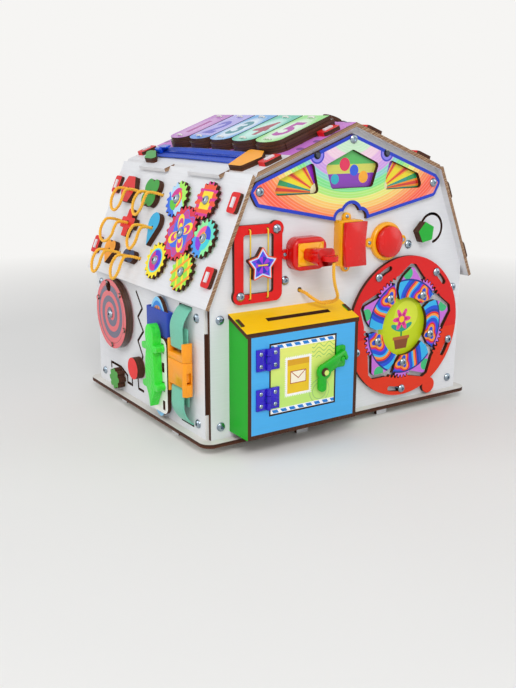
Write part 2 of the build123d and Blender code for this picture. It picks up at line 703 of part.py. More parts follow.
# ---------------------------------------------------------------- gable board and lights
def window_outline(points, inset):
    shape = outline(points)
    shape = fillet(shape.vertices(), WINDOW_ROUND)
    return offset(shape, -inset) if inset else shape


def gable_board():
    half = list(GABLE_HALF)
    points = half + [(-x, z) for x, z in reversed(half[1:])]
    board = outline(points)
    soft = [vertex for vertex in board.vertices() if abs(vertex.X) > KNEE_X - 20]
    board = fillet(soft, GABLE_ROUND)
    lobes = [Pos(*SCALLOP_TOP) * Circle(SCALLOP_R)]
    lobes += [Pos(x, SCALLOP_SIDE_Z) * Circle(SCALLOP_SIDE_R) for x in (-SCALLOP_SIDE_X, SCALLOP_SIDE_X)]
    board -= lobes
    board -= [window_outline(window, 0.0) for window in GABLE_WINDOWS]
    board -= [Pos(x, LED_Z) * Circle(LED_HOLE_R) for x in (-LED_X, LED_X)]
    board -= [Pos(x, z) * Circle(BOLT_HOLE_R) for x, z in GABLE_BOLTS]
    return raised(FRONT, board, 0, PLY)


def window_lights():
    """Panes in the wall's cut-outs, the lamp board on spacers behind them, and the battery box."""
    panes = [raised(FRONT, window_outline(w, PANE_FIT), -PANE_THICKNESS, 0) for w in GABLE_WINDOWS]
    width, height = LED_BOARD_SIZE
    back = -LED_BOARD_BACK
    face = back + LED_BOARD_THICKNESS
    board = raised(FRONT, Pos(0, LED_BOARD_Z) * RectangleRounded(width, height, 4), back, face)
    spacer_x = (width + LED_X) / 4 - 30
    for x in (-spacer_x, spacer_x):
        board += raised(FRONT, Pos(x, LED_BOARD_Z) * RegularPolygon(3, 6), face, -PLY)
    for x in (-LED_X, LED_X):
        arm = Pos(x, (LED_Z + LED_BOARD_Z) / 2) * Rectangle(2 * LED_R, LED_Z - LED_BOARD_Z + 2 * LED_R)
        board += raised(FRONT, arm, back, face)
        board += raised(FRONT, Pos(x, LED_Z) * Circle(LED_R), face, PLY + LED_PROUD)
    for x in (0.0, -1.6 * LED_X, 1.6 * LED_X):
        board += raised(FRONT, Pos(x, LED_BOARD_Z) * RegularPolygon(LED_R, 8), face, -PLY - 1)
    box_width, box_height, box_depth = BATTERY_SIZE
    case = raised(FRONT, Pos(*BATTERY_CENTRE) * RectangleRounded(box_width, box_height, 3), -PLY - box_depth, -PLY)
    inner = RectangleRounded(box_width - 4, box_height - 4, 2)
    case -= raised(FRONT, Pos(*BATTERY_CENTRE) * inner, -PLY - box_depth, -PLY - 2)
    lid = raised(
        FRONT,
        Pos(*BATTERY_CENTRE) * RectangleRounded(box_width, box_height, 3),
        -PLY - box_depth - BATTERY_LID,
        -PLY - box_depth,
    )
    return group(panes + [board, case, lid])


# ---------------------------------------------------------------- star on elastics
def star_ears():
    return tuple((STAR_FRAME_CENTRE[0] + x, STAR_FRAME_CENTRE[1] + z) for x, z in STAR_EARS)


def star_frame():
    shape = RectangleRounded(*STAR_FRAME_SIZE, 8)
    shape += [Pos(x, z) * Circle(STAR_EAR_R) for x, z in STAR_EARS]
    shape -= RectangleRounded(*STAR_WINDOW_SIZE, 3)
    shape -= [Pos(x, z) * Circle(BOLT_HOLE_R) for x, z in STAR_EARS]
    shape -= [Pos(x, z) * Circle(STRAND_R + 0.6) for x in (-STRAND_X, STRAND_X) for z in (-STRAND_Z, STRAND_Z)]
    return raised(FRONT, Pos(*STAR_FRAME_CENTRE) * shape, 0, PLY)


def star_bead():
    low = PLY + 2 * SOFT_GAP + 2 * STRAND_R
    points = [polar(STAR_R if k % 2 == 0 else STAR_INNER_R, 90 + 36 * k) for k in range(10)]
    shape = outline(points)
    shape = fillet(shape.vertices(), 1.5)
    star = raised(FRONT, Pos(*STAR_FRAME_CENTRE) * shape, low, low + STAR_THICKNESS)
    return star


def elastics():
    """Elastic strands: two behind the star, the band round the oval board, the bar lacing."""
    strands = []
    height = PLY + SOFT_GAP + STRAND_R
    for x in (-STRAND_X, STRAND_X):
        rod = Pos(0, 0, -STRAND_Z) * extrude(RegularPolygon(STRAND_R, 6), 2 * STRAND_Z)
        pegs = [Pos(0, 0, z) * Rot(90, 0, 0) * extrude(RegularPolygon(STRAND_R, 6), -height) for z in (-STRAND_Z, STRAND_Z)]
        strand = rod + pegs
        strands.append(Pos(STAR_FRAME_CENTRE[0] + x, -WALL_Y - height, STAR_FRAME_CENTRE[1]) * strand)
    top = XYLO_BASE + PLY + SOFT_GAP
    for index in range(BAR_COUNT):
        for v in (-STITCH_V, STITCH_V):
            u = XYLO_CENTRE[0] + (index - (BAR_COUNT - 1) / 2) * BAR_PITCH
            stitch = Rot(90, 0, 0) * extrude(RegularPolygon(STITCH_R, 6), STITCH_LENGTH / 2, both=True)
            strands.append(at(UPPER, u, XYLO_CENTRE[1] + v, top + STITCH_R, stitch))
    return group(strands + [elastic_band()])


# ---------------------------------------------------------------- socket and plug
def screw_ears(half, vertical=False):
    """Two screw ears left and right of a housing, or above and below it."""
    shape = Sketch()
    for side in (-1, 1):
        place = (0, side * (half + EAR_REACH / 2)) if vertical else (side * (half + EAR_REACH / 2), 0)
        shape += Pos(*place) * Circle(EAR_R)
    return shape


def pin_places():
    return [Pos(side * PIN_PITCH / 2, 0) for side in (-1, 1)]


def socket_housing():
    """Moulded socket: a rounded shell with screw ears and a loose insert in its face."""
    shell = extrude(RectangleRounded(*SOCKET_SIZE, SOCKET_ROUND), SOCKET_DEPTH)
    shell = fillet(shell.edges().group_by(Axis.Z)[-1], SOCKET_EDGE)
    shell += extrude(screw_ears(SOCKET_SIZE[0] / 2), EAR_THICKNESS)
    floor = SOCKET_DEPTH - INSERT_DEPTH
    hollow = RectangleRounded(SOCKET_SIZE[0] - 2 * SOCKET_WALL, SOCKET_SIZE[1] - 2 * SOCKET_WALL, SOCKET_ROUND - SOCKET_WALL)
    shell -= extrude(hollow, floor - SOCKET_WALL)
    pocket = RectangleRounded(INSERT_SIZE[0] + 2 * INSERT_FIT, INSERT_SIZE[1] + 2 * INSERT_FIT, 5)
    shell -= Pos(0, 0, floor) * extrude(pocket, INSERT_DEPTH)
    holes = Sketch() + [place * Circle(PIN_R + PIN_FIT) for place in pin_places()]
    shell -= extrude(holes, SOCKET_DEPTH)
    insert = Pos(0, 0, floor) * extrude(RectangleRounded(*INSERT_SIZE, 5), INSERT_DEPTH)
    insert -= extrude(holes, SOCKET_DEPTH)
    return group([at(FRONT, *SOCKET_CENTRE, 0, solid) for solid in (shell, insert)])


def toy_plug():
    """Flared plug with two pins and an upright ring for its cord."""
    face = SOCKET_DEPTH + SOFT_GAP
    root = Pos(0, 0, face) * RectangleRounded(*PLUG_ROOT, 4)
    tip = Pos(0, 0, face + PLUG_LENGTH) * RectangleRounded(*PLUG_TIP, 5)
    body = loft([root, tip])
    for place in pin_places():
        body += place * Pos(0, 0, face - PIN_LENGTH) * extrude(Circle(PIN_R), PIN_LENGTH + 1)
    ring = Rot(90, 0, 0) * extrude(Circle(RING_R) - Circle(RING_HOLE_R), RING_THICKNESS / 2, both=True)
    body += Pos(0, 0, ring_height()) * ring
    return at(FRONT, *SOCKET_CENTRE, 0, body)


def ring_height():
    """Height of the plug ring's centre above the wall."""
    return SOCKET_DEPTH + SOFT_GAP + PLUG_LENGTH + RING_R - 1.5


# ---------------------------------------------------------------- cords
def rounded_route(points):
    """Arc radius at each inner point: as large as the shorter of its two runs allows."""
    radii = []
    for before, here, after in zip(points, points[1:], points[2:]):
        first = Vector(*here) - Vector(*before)
        second = Vector(*after) - Vector(*here)
        turn = radians(first.get_angle(second))
        radii.append(0.45 * min(first.length, second.length) / tan(turn / 2))
    return radii


def cord(name, points):
    """Cord of even section along straight runs joined by tangent arcs."""
    radii = rounded_route(points)
    path = FilletPolyline(*points, radius=radii)
    section = Plane(path @ 0, z_dir=path % 0) * RegularPolygon(CORD_R * 1.05, 6)
    solid = sweep(section, path=path)
    share = solid.volume / (section.area * path.length)
    print(name, "length", round(path.length, 1), "radii", [round(r, 1) for r in radii], "volume", round(share, 3))
    return solid


def plug_cord():
    """Limp cord from the plug's ring over the letter box's lid into the wall."""
    x, z = SOCKET_CENTRE
    ring = -WALL_Y - ring_height()
    wall = -WALL_Y
    points = [
        (x, ring - RING_R + 1.8, z - RING_THICKNESS / 2 - 2 * SOFT_GAP),
        (x + 1.5, ring - 3, z - 15),
        (x + 9, ring + 3, z - 29),
        (x + 19, ring + 10, z - 41),
        (x + 22, ring + 21, z - 47.5),
        (x + 14, ring + 30, z - 50.5),
        (CORD_HOLE[0] + 7, wall - 10, CORD_HOLE[1] - 7),
        (CORD_HOLE[0], wall - 7, CORD_HOLE[1]),
        (CORD_HOLE[0], wall + PLY + CORD_INSIDE, CORD_HOLE[1]),
    ]
    return cord("plug_cord", points)


def tether_cords():
    """One rope loop for each sorting piece: both ends go through the roof panel."""
    ropes = []
    for name, (piece, hole) in SORTERS.items():
        back, front = sorted((piece, hole))
        gap = front[0] - back[0]
        start = Vector(back[0], back[1], 0)
        local = [
            (0, 0, -PLY - 2),
            (0, 0, ROPE_HEIGHT),
            (-3, -11, ROPE_HEIGHT + 2.5),
            (-4, -20, ROPE_HEIGHT + 1.5),
            (0.1 * gap - 1, -ROPE_DROP, ROPE_HEIGHT),
            (0.62 * gap - 1, -ROPE_DROP - 1, ROPE_HEIGHT + 0.5),
            (gap + 0.5, -ROPE_DROP + 8, ROPE_HEIGHT + 1.5),
            (gap + 1, -11 + front[1] - back[1], ROPE_HEIGHT + 2.5),
            (gap, front[1] - back[1], ROPE_HEIGHT),
            (gap, front[1] - back[1], -PLY - 2),
        ]
        points = [tuple(LOWER.from_local_coords(start + Vector(*point))) for point in local]
        ropes.append(cord("tether of " + name, points))
    return group(ropes)


# ---------------------------------------------------------------- switch, bell, arc knob
def switch_box():
    """Open-topped moulded box with screw ears and bearing holes for the rocker."""
    width, height = SWITCH_SIZE
    box = extrude(RectangleRounded(width, height, 2.5), SWITCH_DEPTH)
    box += extrude(screw_ears(height / 2, vertical=True), EAR_THICKNESS)
    box -= Pos(0, 0, SWITCH_WALL) * extrude(Rectangle(width - 2 * SWITCH_WALL, height - 2 * SWITCH_WALL), SWITCH_DEPTH)
    box -= Pos(0, 0, ROCKER_PIVOT_H) * Rot(0, 90, 0) * Cylinder(ROCKER_AXLE_R + PIVOT_FIT, width - SWITCH_WALL)
    return at(FRONT, *SWITCH_CENTRE, 0, box)


def switch_rocker():
    """Rocker cap, its underside a shallow V, with a hub and an axle in the box."""
    width = SWITCH_SIZE[0] - 2 * ROCKER_INSET
    half = SWITCH_SIZE[1] / 2 - ROCKER_INSET
    seat = SWITCH_DEPTH + SOFT_GAP
    profile = outline(
        [
            (0, seat),
            (half, seat + ROCKER_RISE),
            (half, seat + ROCKER_RISE + ROCKER_THICKNESS),
            (0, seat + ROCKER_THICKNESS),
            (-half, seat + ROCKER_RISE + ROCKER_THICKNESS),
            (-half, seat + ROCKER_RISE),
        ]
    )
    cap = extrude(Plane.YZ * profile, width / 2, both=True)
    inside = SWITCH_SIZE[0] - 2 * SWITCH_WALL - 1
    cap += extrude(Plane.YZ * (Pos(0, ROCKER_PIVOT_H) * Circle(ROCKER_HUB_R)), inside / 2, both=True)
    cap += Pos(0, 0, (ROCKER_PIVOT_H + seat + 1) / 2) * Box(inside, 2 * ROCKER_HUB_R - 1, seat + 1 - ROCKER_PIVOT_H)
    cap += extrude(Plane.YZ * (Pos(0, ROCKER_PIVOT_H) * Circle(ROCKER_AXLE_R)), inside / 2 + SWITCH_WALL / 2, both=True)
    return at(FRONT, *SWITCH_CENTRE, 0, cap)


def bell_base():
    ring = extrude(Circle(BELL_R), BELL_HEIGHT)
    ring = chamfer(ring.edges().group_by(Axis.Z)[-1], 1.2)
    ring += extrude(screw_ears(BELL_R), EAR_THICKNESS)
    ring -= extrude(Circle(BUTTON_R + SOFT_GAP), BELL_HEIGHT)
    return at(FRONT, *BELL_CENTRE, 0, ring)


def bell_button():
    """Domed push button in the ring."""
    low = BUTTON_TRAVEL + 0.5
    side = low + BUTTON_SIDE
    ball_r = (BUTTON_R**2 + BUTTON_DOME**2) / (2 * BUTTON_DOME)
    ball = Pos(0, 0, side + BUTTON_DOME - ball_r) * Rot(90, 0, 0) * Sphere(ball_r)
    button = Pos(0, 0, low) * extrude(Circle(BUTTON_R), BUTTON_SIDE + BUTTON_DOME) & ball
    return at(FRONT, *BELL_CENTRE, 0, button)


def pentagon_knob():
    knob = stemmed_knob(RegularPolygon(PENTAGON_R, 5, rotation=100), PENTAGON_HEIGHT, PLY)
    return at(FRONT, *polar(ARC_R, ARC_START, ARC_CENTRE), 0, knob)


# ---------------------------------------------------------------- letter box
def lid_slope():
    return (BOX_BACK_TOP - BOX_FRONT_TOP) / BOX_DEPTH


def lid_under(height):
    """z of the lid's underside at a height in front of the wall."""
    thick = PLY * hypot(1, lid_slope())
    return BOX_BACK_TOP - height * lid_slope() - thick


def box_plane(x):
    """Plane across the letter box: first coordinate out from the wall, second one up."""
    return Plane((x, -WALL_Y, 0), x_dir=(0, -1, 0), z_dir=(-1, 0, 0))


def mailbox_sides():
    """Two side plates with tabs through the lid, and the floor between them."""
    profile = outline(
        [(0, BOX_BOTTOM), (BOX_DEPTH, BOX_BOTTOM), (BOX_DEPTH, lid_under(BOX_DEPTH)), (0, lid_under(0))]
    )
    middle = BOX_DEPTH / 2
    rise = BOX_BACK_TOP - lid_under(0) + 1.2
    tab = outline(
        [
            (middle - LID_TAB / 2, lid_under(middle - LID_TAB / 2) - 1),
            (middle + LID_TAB / 2, lid_under(middle + LID_TAB / 2) - 1),
            (middle + LID_TAB / 2, lid_under(middle + LID_TAB / 2) + rise),
            (middle - LID_TAB / 2, lid_under(middle - LID_TAB / 2) + rise),
        ]
    )
    left = extrude(box_plane(BOX_LEFT + PLY) * (profile + tab), PLY)
    right = extrude(box_plane(BOX_RIGHT) * (profile + tab), PLY)
    inside = BOX_RIGHT - BOX_LEFT - 2 * PLY
    floor = Pos((BOX_LEFT + BOX_RIGHT) / 2, -WALL_Y - BOX_DEPTH / 2, BOX_BOTTOM + PLY / 2) * Box(inside, BOX_DEPTH, PLY)
    return group([left, right, floor])


def mailbox_lid():
    profile = outline(
        [(0, lid_under(0)), (BOX_DEPTH, lid_under(BOX_DEPTH)), (BOX_DEPTH, BOX_FRONT_TOP), (0, BOX_BACK_TOP)]
    )
    lid = extrude(box_plane(BOX_RIGHT + 1) * profile, BOX_RIGHT - BOX_LEFT + 2)
    centre_y = -WALL_Y - BOX_DEPTH / 2
    lid -= Pos(COIN_SLOT_X, centre_y, BOX_FRONT_TOP) * Box(*COIN_SLOT, 60)
    for x in (BOX_LEFT + PLY / 2, BOX_RIGHT - PLY / 2):
        lid -= Pos(x, centre_y, BOX_FRONT_TOP) * Box(PLY + 2 * TAB_FIT, LID_TAB + 2 * TAB_FIT, 60)
    return lid


def mailbox_front():
    low = BOX_BOTTOM + PLY
    shape = Pos((BOX_LEFT + BOX_RIGHT) / 2, 0) * Rectangle(BOX_RIGHT - BOX_LEFT - 2 * PLY, 400)
    frame = outline(
        [
            (BOX_LEFT + PLY, low),
            (BOX_RIGHT - PLY, low),
            (BOX_RIGHT - PLY, lid_under(BOX_DEPTH)),
            (BOX_LEFT + PLY, lid_under(BOX_DEPTH)),
        ]
    )
    door = outline(
        [
            (DOOR_LEFT - DOOR_GAP, DOOR_BOTTOM - DOOR_GAP),
            (DOOR_RIGHT + DOOR_GAP, DOOR_BOTTOM - DOOR_GAP),
            (DOOR_RIGHT + DOOR_GAP, DOOR_TOP + DOOR_GAP),
            (DOOR_LEFT - DOOR_GAP, DOOR_TOP + DOOR_GAP),
        ]
    )
    return raised(FRONT, (frame & shape) - door, BOX_DEPTH - PLY, BOX_DEPTH)


def mailbox_door():
    """Door leaf, and the screw that its latch turns on."""
    centre = ((DOOR_LEFT + DOOR_RIGHT) / 2, (DOOR_BOTTOM + DOOR_TOP) / 2)
    shape = Pos(*centre) * Rectangle(DOOR_RIGHT - DOOR_LEFT, DOOR_TOP - DOOR_BOTTOM)
    shape -= Pos(*LATCH_PIVOT) * Circle(BOLT_HOLE_R)
    door = raised(FRONT, shape, BOX_DEPTH - PLY, BOX_DEPTH)
    screw = at(FRONT, *LATCH_PIVOT, latch_height() + LATCH_PLATE + AIR, dome_bolt(latch_height() - BOX_DEPTH + LATCH_PLATE + AIR + PLY))
    return group([door, screw])


def hinge_axis_height():
    return BOX_DEPTH + KNUCKLE_R + KNUCKLE_GAP / 2


def hinge_leaf(z, frame_side):
    """One leaf of a butt hinge with its knuckles; the frame's leaf holds the pin."""
    third = HINGE_HEIGHT / 3
    axis_h = hinge_axis_height()
    side = -1 if frame_side else 1
    near = KNUCKLE_R + KNUCKLE_GAP
    plate = Pos(side * (near + LEAF_WIDTH) / 2, HINGE_HEIGHT / 2) * Rectangle(LEAF_WIDTH - near, HINGE_HEIGHT)
    leaf = extrude(plate, LEAF_THICKNESS)
    spans = ((0, third), (2 * third, 3 * third)) if frame_side else ((third, 2 * third),)
    for low, high in spans:
        start = low + (KNUCKLE_GAP if low else 0)
        end = high - (KNUCKLE_GAP if high < HINGE_HEIGHT else 0)
        bridge = Pos(side * (near + 1) / 2, (start + end) / 2, LEAF_THICKNESS / 2) * Box(near + 1, end - start, LEAF_THICKNESS)
        leaf += bridge
        barrel = extrude(Circle(KNUCKLE_R), end - start)
        leaf += Pos(0, start, axis_h - BOX_DEPTH) * Rot(-90, 0, 0) * barrel
    if frame_side:
        pin = extrude(Circle(HINGE_PIN_R), HINGE_HEIGHT)
        leaf += Pos(0, 0, axis_h - BOX_DEPTH) * Rot(-90, 0, 0) * pin
    else:
        bore = extrude(Circle(HINGE_PIN_R + PIVOT_FIT), HINGE_HEIGHT)
        leaf -= Pos(0, 0, axis_h - BOX_DEPTH) * Rot(-90, 0, 0) * bore
    return at(FRONT, HINGE_X, z, BOX_DEPTH, leaf)


def mailbox_fittings():
    """What the letter box's frame holds: two hinge leaves and the latch's keeper with its peg."""
    leaves = [hinge_leaf(z, True) for z in HINGE_ZS]
    left, right, low, high = KEEPER
    plate = Pos((left + right) / 2, (low + high) / 2) * RectangleRounded(right - left, high - low, 2.5)
    peg = Pos(*PEG) * Circle(PEG_R)
    keeper = raised(FRONT, plate - peg, BOX_DEPTH, BOX_DEPTH + KEEPER_THICKNESS)
    post = raised(FRONT, peg, BOX_DEPTH, latch_height() + LATCH_PLATE)
    return group(leaves + [keeper, post])


def hinge_door_leaves():
    return group([hinge_leaf(z, False) for z in HINGE_ZS])


def latch_height():
    return BOX_DEPTH + KEEPER_THICKNESS + SOFT_GAP


def latch_hook():
    """Turning hook: a round head, a handle below it and an arm whose notch drops over the peg."""
    reach = (PEG[0] - LATCH_PIVOT[0], PEG[1] - LATCH_PIVOT[1])
    turn = degrees(atan2(reach[1], reach[0]))
    length = hypot(*reach)
    nose = length + PEG_R + 4
    shape = Circle(LATCH_R)
    arm = outline([(0, -4.5), (nose, -3.5), (nose, 7.5), (0, 7.5)])
    arm = fillet(arm.vertices().group_by(Axis.X)[-1], 3)
    notch_r = PEG_R + PEG_PLAY
    notch = Pos(length, 0) * Circle(notch_r) + Pos(length, -6) * Rectangle(2 * notch_r, 12)
    handle = Rot(0, 0, -turn) * (Pos(-2, -10) * RectangleRounded(9, 20, 4))
    shape += [arm, handle]
    shape -= notch
    hook = extrude(shape, LATCH_PLATE)
    hub = Pos(0, 0, BOX_DEPTH + AIR - latch_height()) * extrude(Circle(LATCH_HUB_R), latch_height() - BOX_DEPTH)
    hook += hub
    hook -= Pos(0, 0, -LATCH_PLATE) * extrude(Circle(BOLT_HOLE_R), 3 * LATCH_PLATE)
    return at(FRONT, *LATCH_PIVOT, latch_height(), Rot(0, 0, turn) * hook)


# ---------------------------------------------------------------- iris
def iris_directions():
    return [IRIS_PHASE + 360 / IRIS_COUNT * k for k in range(IRIS_COUNT)]


def iris_pivots():
    return tuple(polar(IRIS_PIVOT_R, angle, IRIS_CENTRE) for angle in iris_directions())


def iris_guides():
    return tuple(polar(IRIS_GUIDE_R, angle, IRIS_CENTRE) for angle in iris_directions())


def iris_half_tooth():
    return pi * IRIS_MODULE / 4 - IRIS_BACKLASH


def petal_outline():
    """Crescent petal, drawn with its pivot in direction 0 from the ring's centre."""
    pivot = (IRIS_PIVOT_R, 0.0)
    pitch_r = IRIS_MODULE * PETAL_TEETH / 2
    pitch = 360 / PETAL_TEETH
    teeth = tooth_run(pivot, pitch_r - 1.75, pitch_r + 1.25, pitch, iris_half_tooth(), [pitch * k for k in range(-3, 4)][:-1])
    heel = [polar(radius, angle, pivot) for radius, angle in PETAL_HEEL]
    tip = Vector(*polar(*PETAL_TIP))
    back = [polar(*point) for point in PETAL_BACK]
    before = tip + (Vector(*teeth[-1]) - tip).normalized() * PETAL_TIP_CUT
    after = tip + (Vector(*back[0]) - tip).normalized() * PETAL_TIP_CUT
    start, end = PETAL_ARC
    chain = [polar(IRIS_WINDOW_R, start)] + heel + teeth + [(before.X, before.Y), (after.X, after.Y)] + back
    chain.append(polar(IRIS_WINDOW_R, end))
    edge = Polyline(*chain)
    edge += ThreePointArc(chain[-1], polar(IRIS_WINDOW_R, (start + end) / 2), chain[0])
    return make_face(edge) - Pos(*pivot) * Circle(PIVOT_R + PIVOT_FIT)


def iris_petal(index):
    turn = Rot(0, 0, iris_directions()[index])
    return raised(FRONT, Pos(*IRIS_CENTRE) * turn * petal_outline(), LIFT, LIFT + PLY)


def ring_opening():
    """The ring's inner edge: in each fifth a run of teeth and a pocket for a petal's tip."""
    pitch_r = IRIS_MODULE * RING_TEETH / 2
    pitch = 360 / RING_TEETH
    sector = tooth_run((0.0, 0.0), pitch_r + 1.75, pitch_r - 1.15, pitch, iris_half_tooth(), [(k + 0.5) * pitch for k in range(-4, 2)])
    sector += [polar(*point) for point in POCKET]
    points = []
    for angle in iris_directions():
        for x, y in sector:
            points.append(polar(hypot(x, y), degrees(atan2(y, x)) + angle))
    return outline(points)


def iris_ring():
    """Handled ring with inside teeth that turn all petals at once."""
    shape = Circle(IRIS_R) + Pos(*polar(HANDLE_REACH, HANDLE_DIRECTION)) * Circle(HANDLE_R)
    shape -= ring_opening()
    slot = 2 * (PIVOT_R + PIVOT_FIT)
    play = degrees(PIVOT_FIT / IRIS_GUIDE_R)
    for angle in iris_directions():
        shape -= arc_groove((0, 0), IRIS_GUIDE_R, angle + play, -IRIS_SWING - 2 * play, slot)
    return raised(FRONT, Pos(*IRIS_CENTRE) * shape, LIFT, LIFT + PLY)


# ---------------------------------------------------------------- left wall toys
def spiral_points():
    """Corners of the spiral track, from beside the pivot to the rim."""
    steps = int(MAZE_TURNS * 10)
    inner = PIVOT_R + PIVOT_FIT + MAZE_TRACK
    outer = MAZE_R - MAZE_RIM - MAZE_TRACK - 2 * MAZE_HOLE_R / 3
    points = []
    for step in range(steps + 1):
        share = step / steps
        points.append(polar(inner + (outer - inner) * share, 100 + 360 * MAZE_TURNS * share))
    return points


def spiral_groove():
    return groove(spiral_points(), MAZE_TRACK)


def maze_disc():
    """Turning disc: floor and spiral track, a loose ball in it, a clear cover and its screws."""
    hollow = Circle(PIVOT_R + PIVOT_FIT) + Pos(*MAZE_HOLE) * Circle(MAZE_HOLE_R)
    base = extrude(Circle(MAZE_R) - hollow, MAZE_LAYERS)
    track = extrude(Circle(MAZE_R) - hollow - spiral_groove(), MAZE_LAYERS)
    cover = extrude(Circle(MAZE_R) - hollow, MAZE_LAYERS)
    body = base + Pos(0, 0, MAZE_LAYERS) * track
    ball_place = spiral_points()[round(MAZE_BALL_STEP)]
    ball = Pos(*ball_place, MAZE_LAYERS + BALL_R / 2) * extrude(RegularPolygon(BALL_R - 1, 8), BALL_R / 2)
    solids = [body, Pos(0, 0, 2 * MAZE_LAYERS) * cover]
    for angle in MAZE_SCREWS:
        head = extrude(RegularPolygon(MAZE_SCREW_HEAD, 8), MAZE_SCREW_HEIGHT, taper=25)
        solids.append(Pos(*polar(MAZE_SCREW_R, angle), 3 * MAZE_LAYERS) * head)
    return group([at(LEFT, *MAZE_CENTRE, LIFT, solid) for solid in solids + [ball]])


def zigzag_knob():
    run = round(ZIGZAG_RUN)
    start, end = ZIGZAG[run], ZIGZAG[run + 1]
    place = [a + (b - a) * ZIGZAG_AT for a, b in zip(start, end)]
    return at(LEFT, *place, 0, stemmed_knob(Circle(ROUND_KNOB_R), ROUND_KNOB_HEIGHT, PLY))


def star_knob():
    lobes = [Pos(*polar(STAR_KNOB_R * 0.78, 360 / STAR_KNOB_LOBES * k)) * Circle(STAR_KNOB_R * 0.24) for k in range(STAR_KNOB_LOBES)]
    return at(LEFT, *STAR_KNOB_AT, 0, stemmed_knob(Circle(STAR_KNOB_R * 0.82) + lobes, STAR_KNOB_HEIGHT, PLY))


def oval_outline(grow=0.0):
    width, height = OVAL_SIZE
    return Pos(*OVAL_CENTRE) * Ellipse(width / 2 + grow, height / 2 + grow)


def left_wall_boards():
    """Oval board on four spacers, and the slotted plate that the crocodile climbs."""
    oval = raised(LEFT, oval_outline(), OVAL_LIFT, OVAL_LIFT + PLY)
    for v in (-40, 10):
        oval += raised(LEFT, Pos(OVAL_CENTRE[0], OVAL_CENTRE[1] + v) * RegularPolygon(7, 8), 0, OVAL_LIFT)
    plate = RectangleRounded(*LADDER_SIZE, 8)
    low = OVAL_LIFT + PLY
    slots = []
    for z in LADDER_ZS:
        for side in (-1, 1):
            slots.append(Pos(side * LADDER_COLUMN, z - LADDER_CENTRE[1]) * Rectangle(*LADDER_SLOT))
    ladder = raised(LEFT, Pos(*LADDER_CENTRE) * (plate - slots), low, low + PLY)
    return group([oval, ladder])


def elastic_band():
    """Wide elastic band round the oval board."""
    low, high = BAND_Z
    width, height = OVAL_SIZE
    spread = max(abs(low - OVAL_CENTRE[1]), abs(high - OVAL_CENTRE[1]))
    near = min(abs(low - OVAL_CENTRE[1]), abs(high - OVAL_CENTRE[1]))
    half = width / 2 * (1 - (near / (height / 2)) ** 2) ** 0.5 + SOFT_GAP
    inner = (2 * half, PLY + 2 * SOFT_GAP)
    outer = (inner[0] + 2 * BAND_THICKNESS, inner[1] + 2 * BAND_THICKNESS)
    loop = RectangleRounded(*outer, BAND_THICKNESS) - Rectangle(*inner)
    centre = Pos(-WALL_X - OVAL_LIFT - PLY / 2, -OVAL_CENTRE[0], low)
    return centre * Rot(0, 0, 90) * extrude(loop, high - low)


def crocodile():
    """Crocodile with four feet whose pegs drop into the slotted plate."""
    body = [(0, -42), (4, -34), (9, -24), (10, -8), (9, 8), (8, 20), (9, 30), (6, 40), (0, 44), (-6, 40), (-8, 30), (-7, 20), (-9, 8), (-10, -8), (-8, -24), (-3, -34)]
    shape = make_face(Spline(*body, periodic=True))
    zs = (LADDER_ZS[1], LADDER_ZS[3])
    low = OVAL_LIFT + 2 * PLY + CROC_GAP
    middle = (zs[0] + zs[1]) / 2
    for z in zs:
        for side in (-1, 1):
            leg = Pos(side * LADDER_COLUMN / 2, z - middle) * RectangleRounded(LADDER_COLUMN + 9, 7, 3)
            shape += leg
    croc = raised(LEFT, Pos(LADDER_CENTRE[0], middle) * shape, low, low + CROC_THICKNESS)
    for z in zs:
        for side in (-1, 1):
            peg = Pos(LADDER_CENTRE[0] + side * LADDER_COLUMN, z) * Rectangle(*FOOT_PEG)
            croc += raised(LEFT, peg, low - PEG_DEPTH, low + 1)
    return croc


# ---------------------------------------------------------------- strap and buckle
def strap_half(slot_z, bar_z):
    """Doubled strap between a slot of the wall and a bar of the buckle."""
    towards = 1 if bar_z > slot_z else -1
    bar_h = BUCKLE_LOW + BUCKLE_THICKNESS / 2
    t = STRAP_THICKNESS
    front = bar_h + BAR_R + SOFT_GAP
    back = bar_h - BAR_R - SOFT_GAP - t
    end = bar_z + towards * (BAR_R + SOFT_GAP + t)
    inner_end = end - towards * t
    points = [
        (-PLY - 6, slot_z - towards * t / 2),
        (SOFT_GAP + t, slot_z - towards * t / 2),
        (front + t, slot_z + towards * 16),
        (front + t, end),
        (back, end),
        (back, slot_z + towards * 20),
        (back + t, slot_z + towards * 20),
        (back + t, inner_end),
        (front, inner_end),
        (front, slot_z + towards * 17),
        (SOFT_GAP, slot_z + towards * t / 2),
        (-PLY - 6, slot_z + towards * t / 2),
    ]
    plane = Plane((-WALL_X, -STRAP_U - STRAP_WIDTH / 2, 0), x_dir=(-1, 0, 0), z_dir=(0, 1, 0))
    return extrude(plane * outline([(h, z) for h, z in points]), STRAP_WIDTH)


def buckle_bar(z):
    bar = Rot(0, 90, 0) * Cylinder(BAR_R, BUCKLE_WIDTH - 2)
    return at(LEFT, BUCKLE_U, z, BUCKLE_LOW + BUCKLE_THICKNESS / 2, bar)


def buckle_shell(bottom, top, wall_depth):
    """Flat tube with rounded edges between two heights."""
    depth = BUCKLE_THICKNESS
    tube = RectangleRounded(BUCKLE_WIDTH, depth, 4)
    centre = Plane((-WALL_X - BUCKLE_LOW - depth / 2, -BUCKLE_U, bottom), x_dir=(0, -1, 0), z_dir=(0, 0, 1))
    return centre, tube


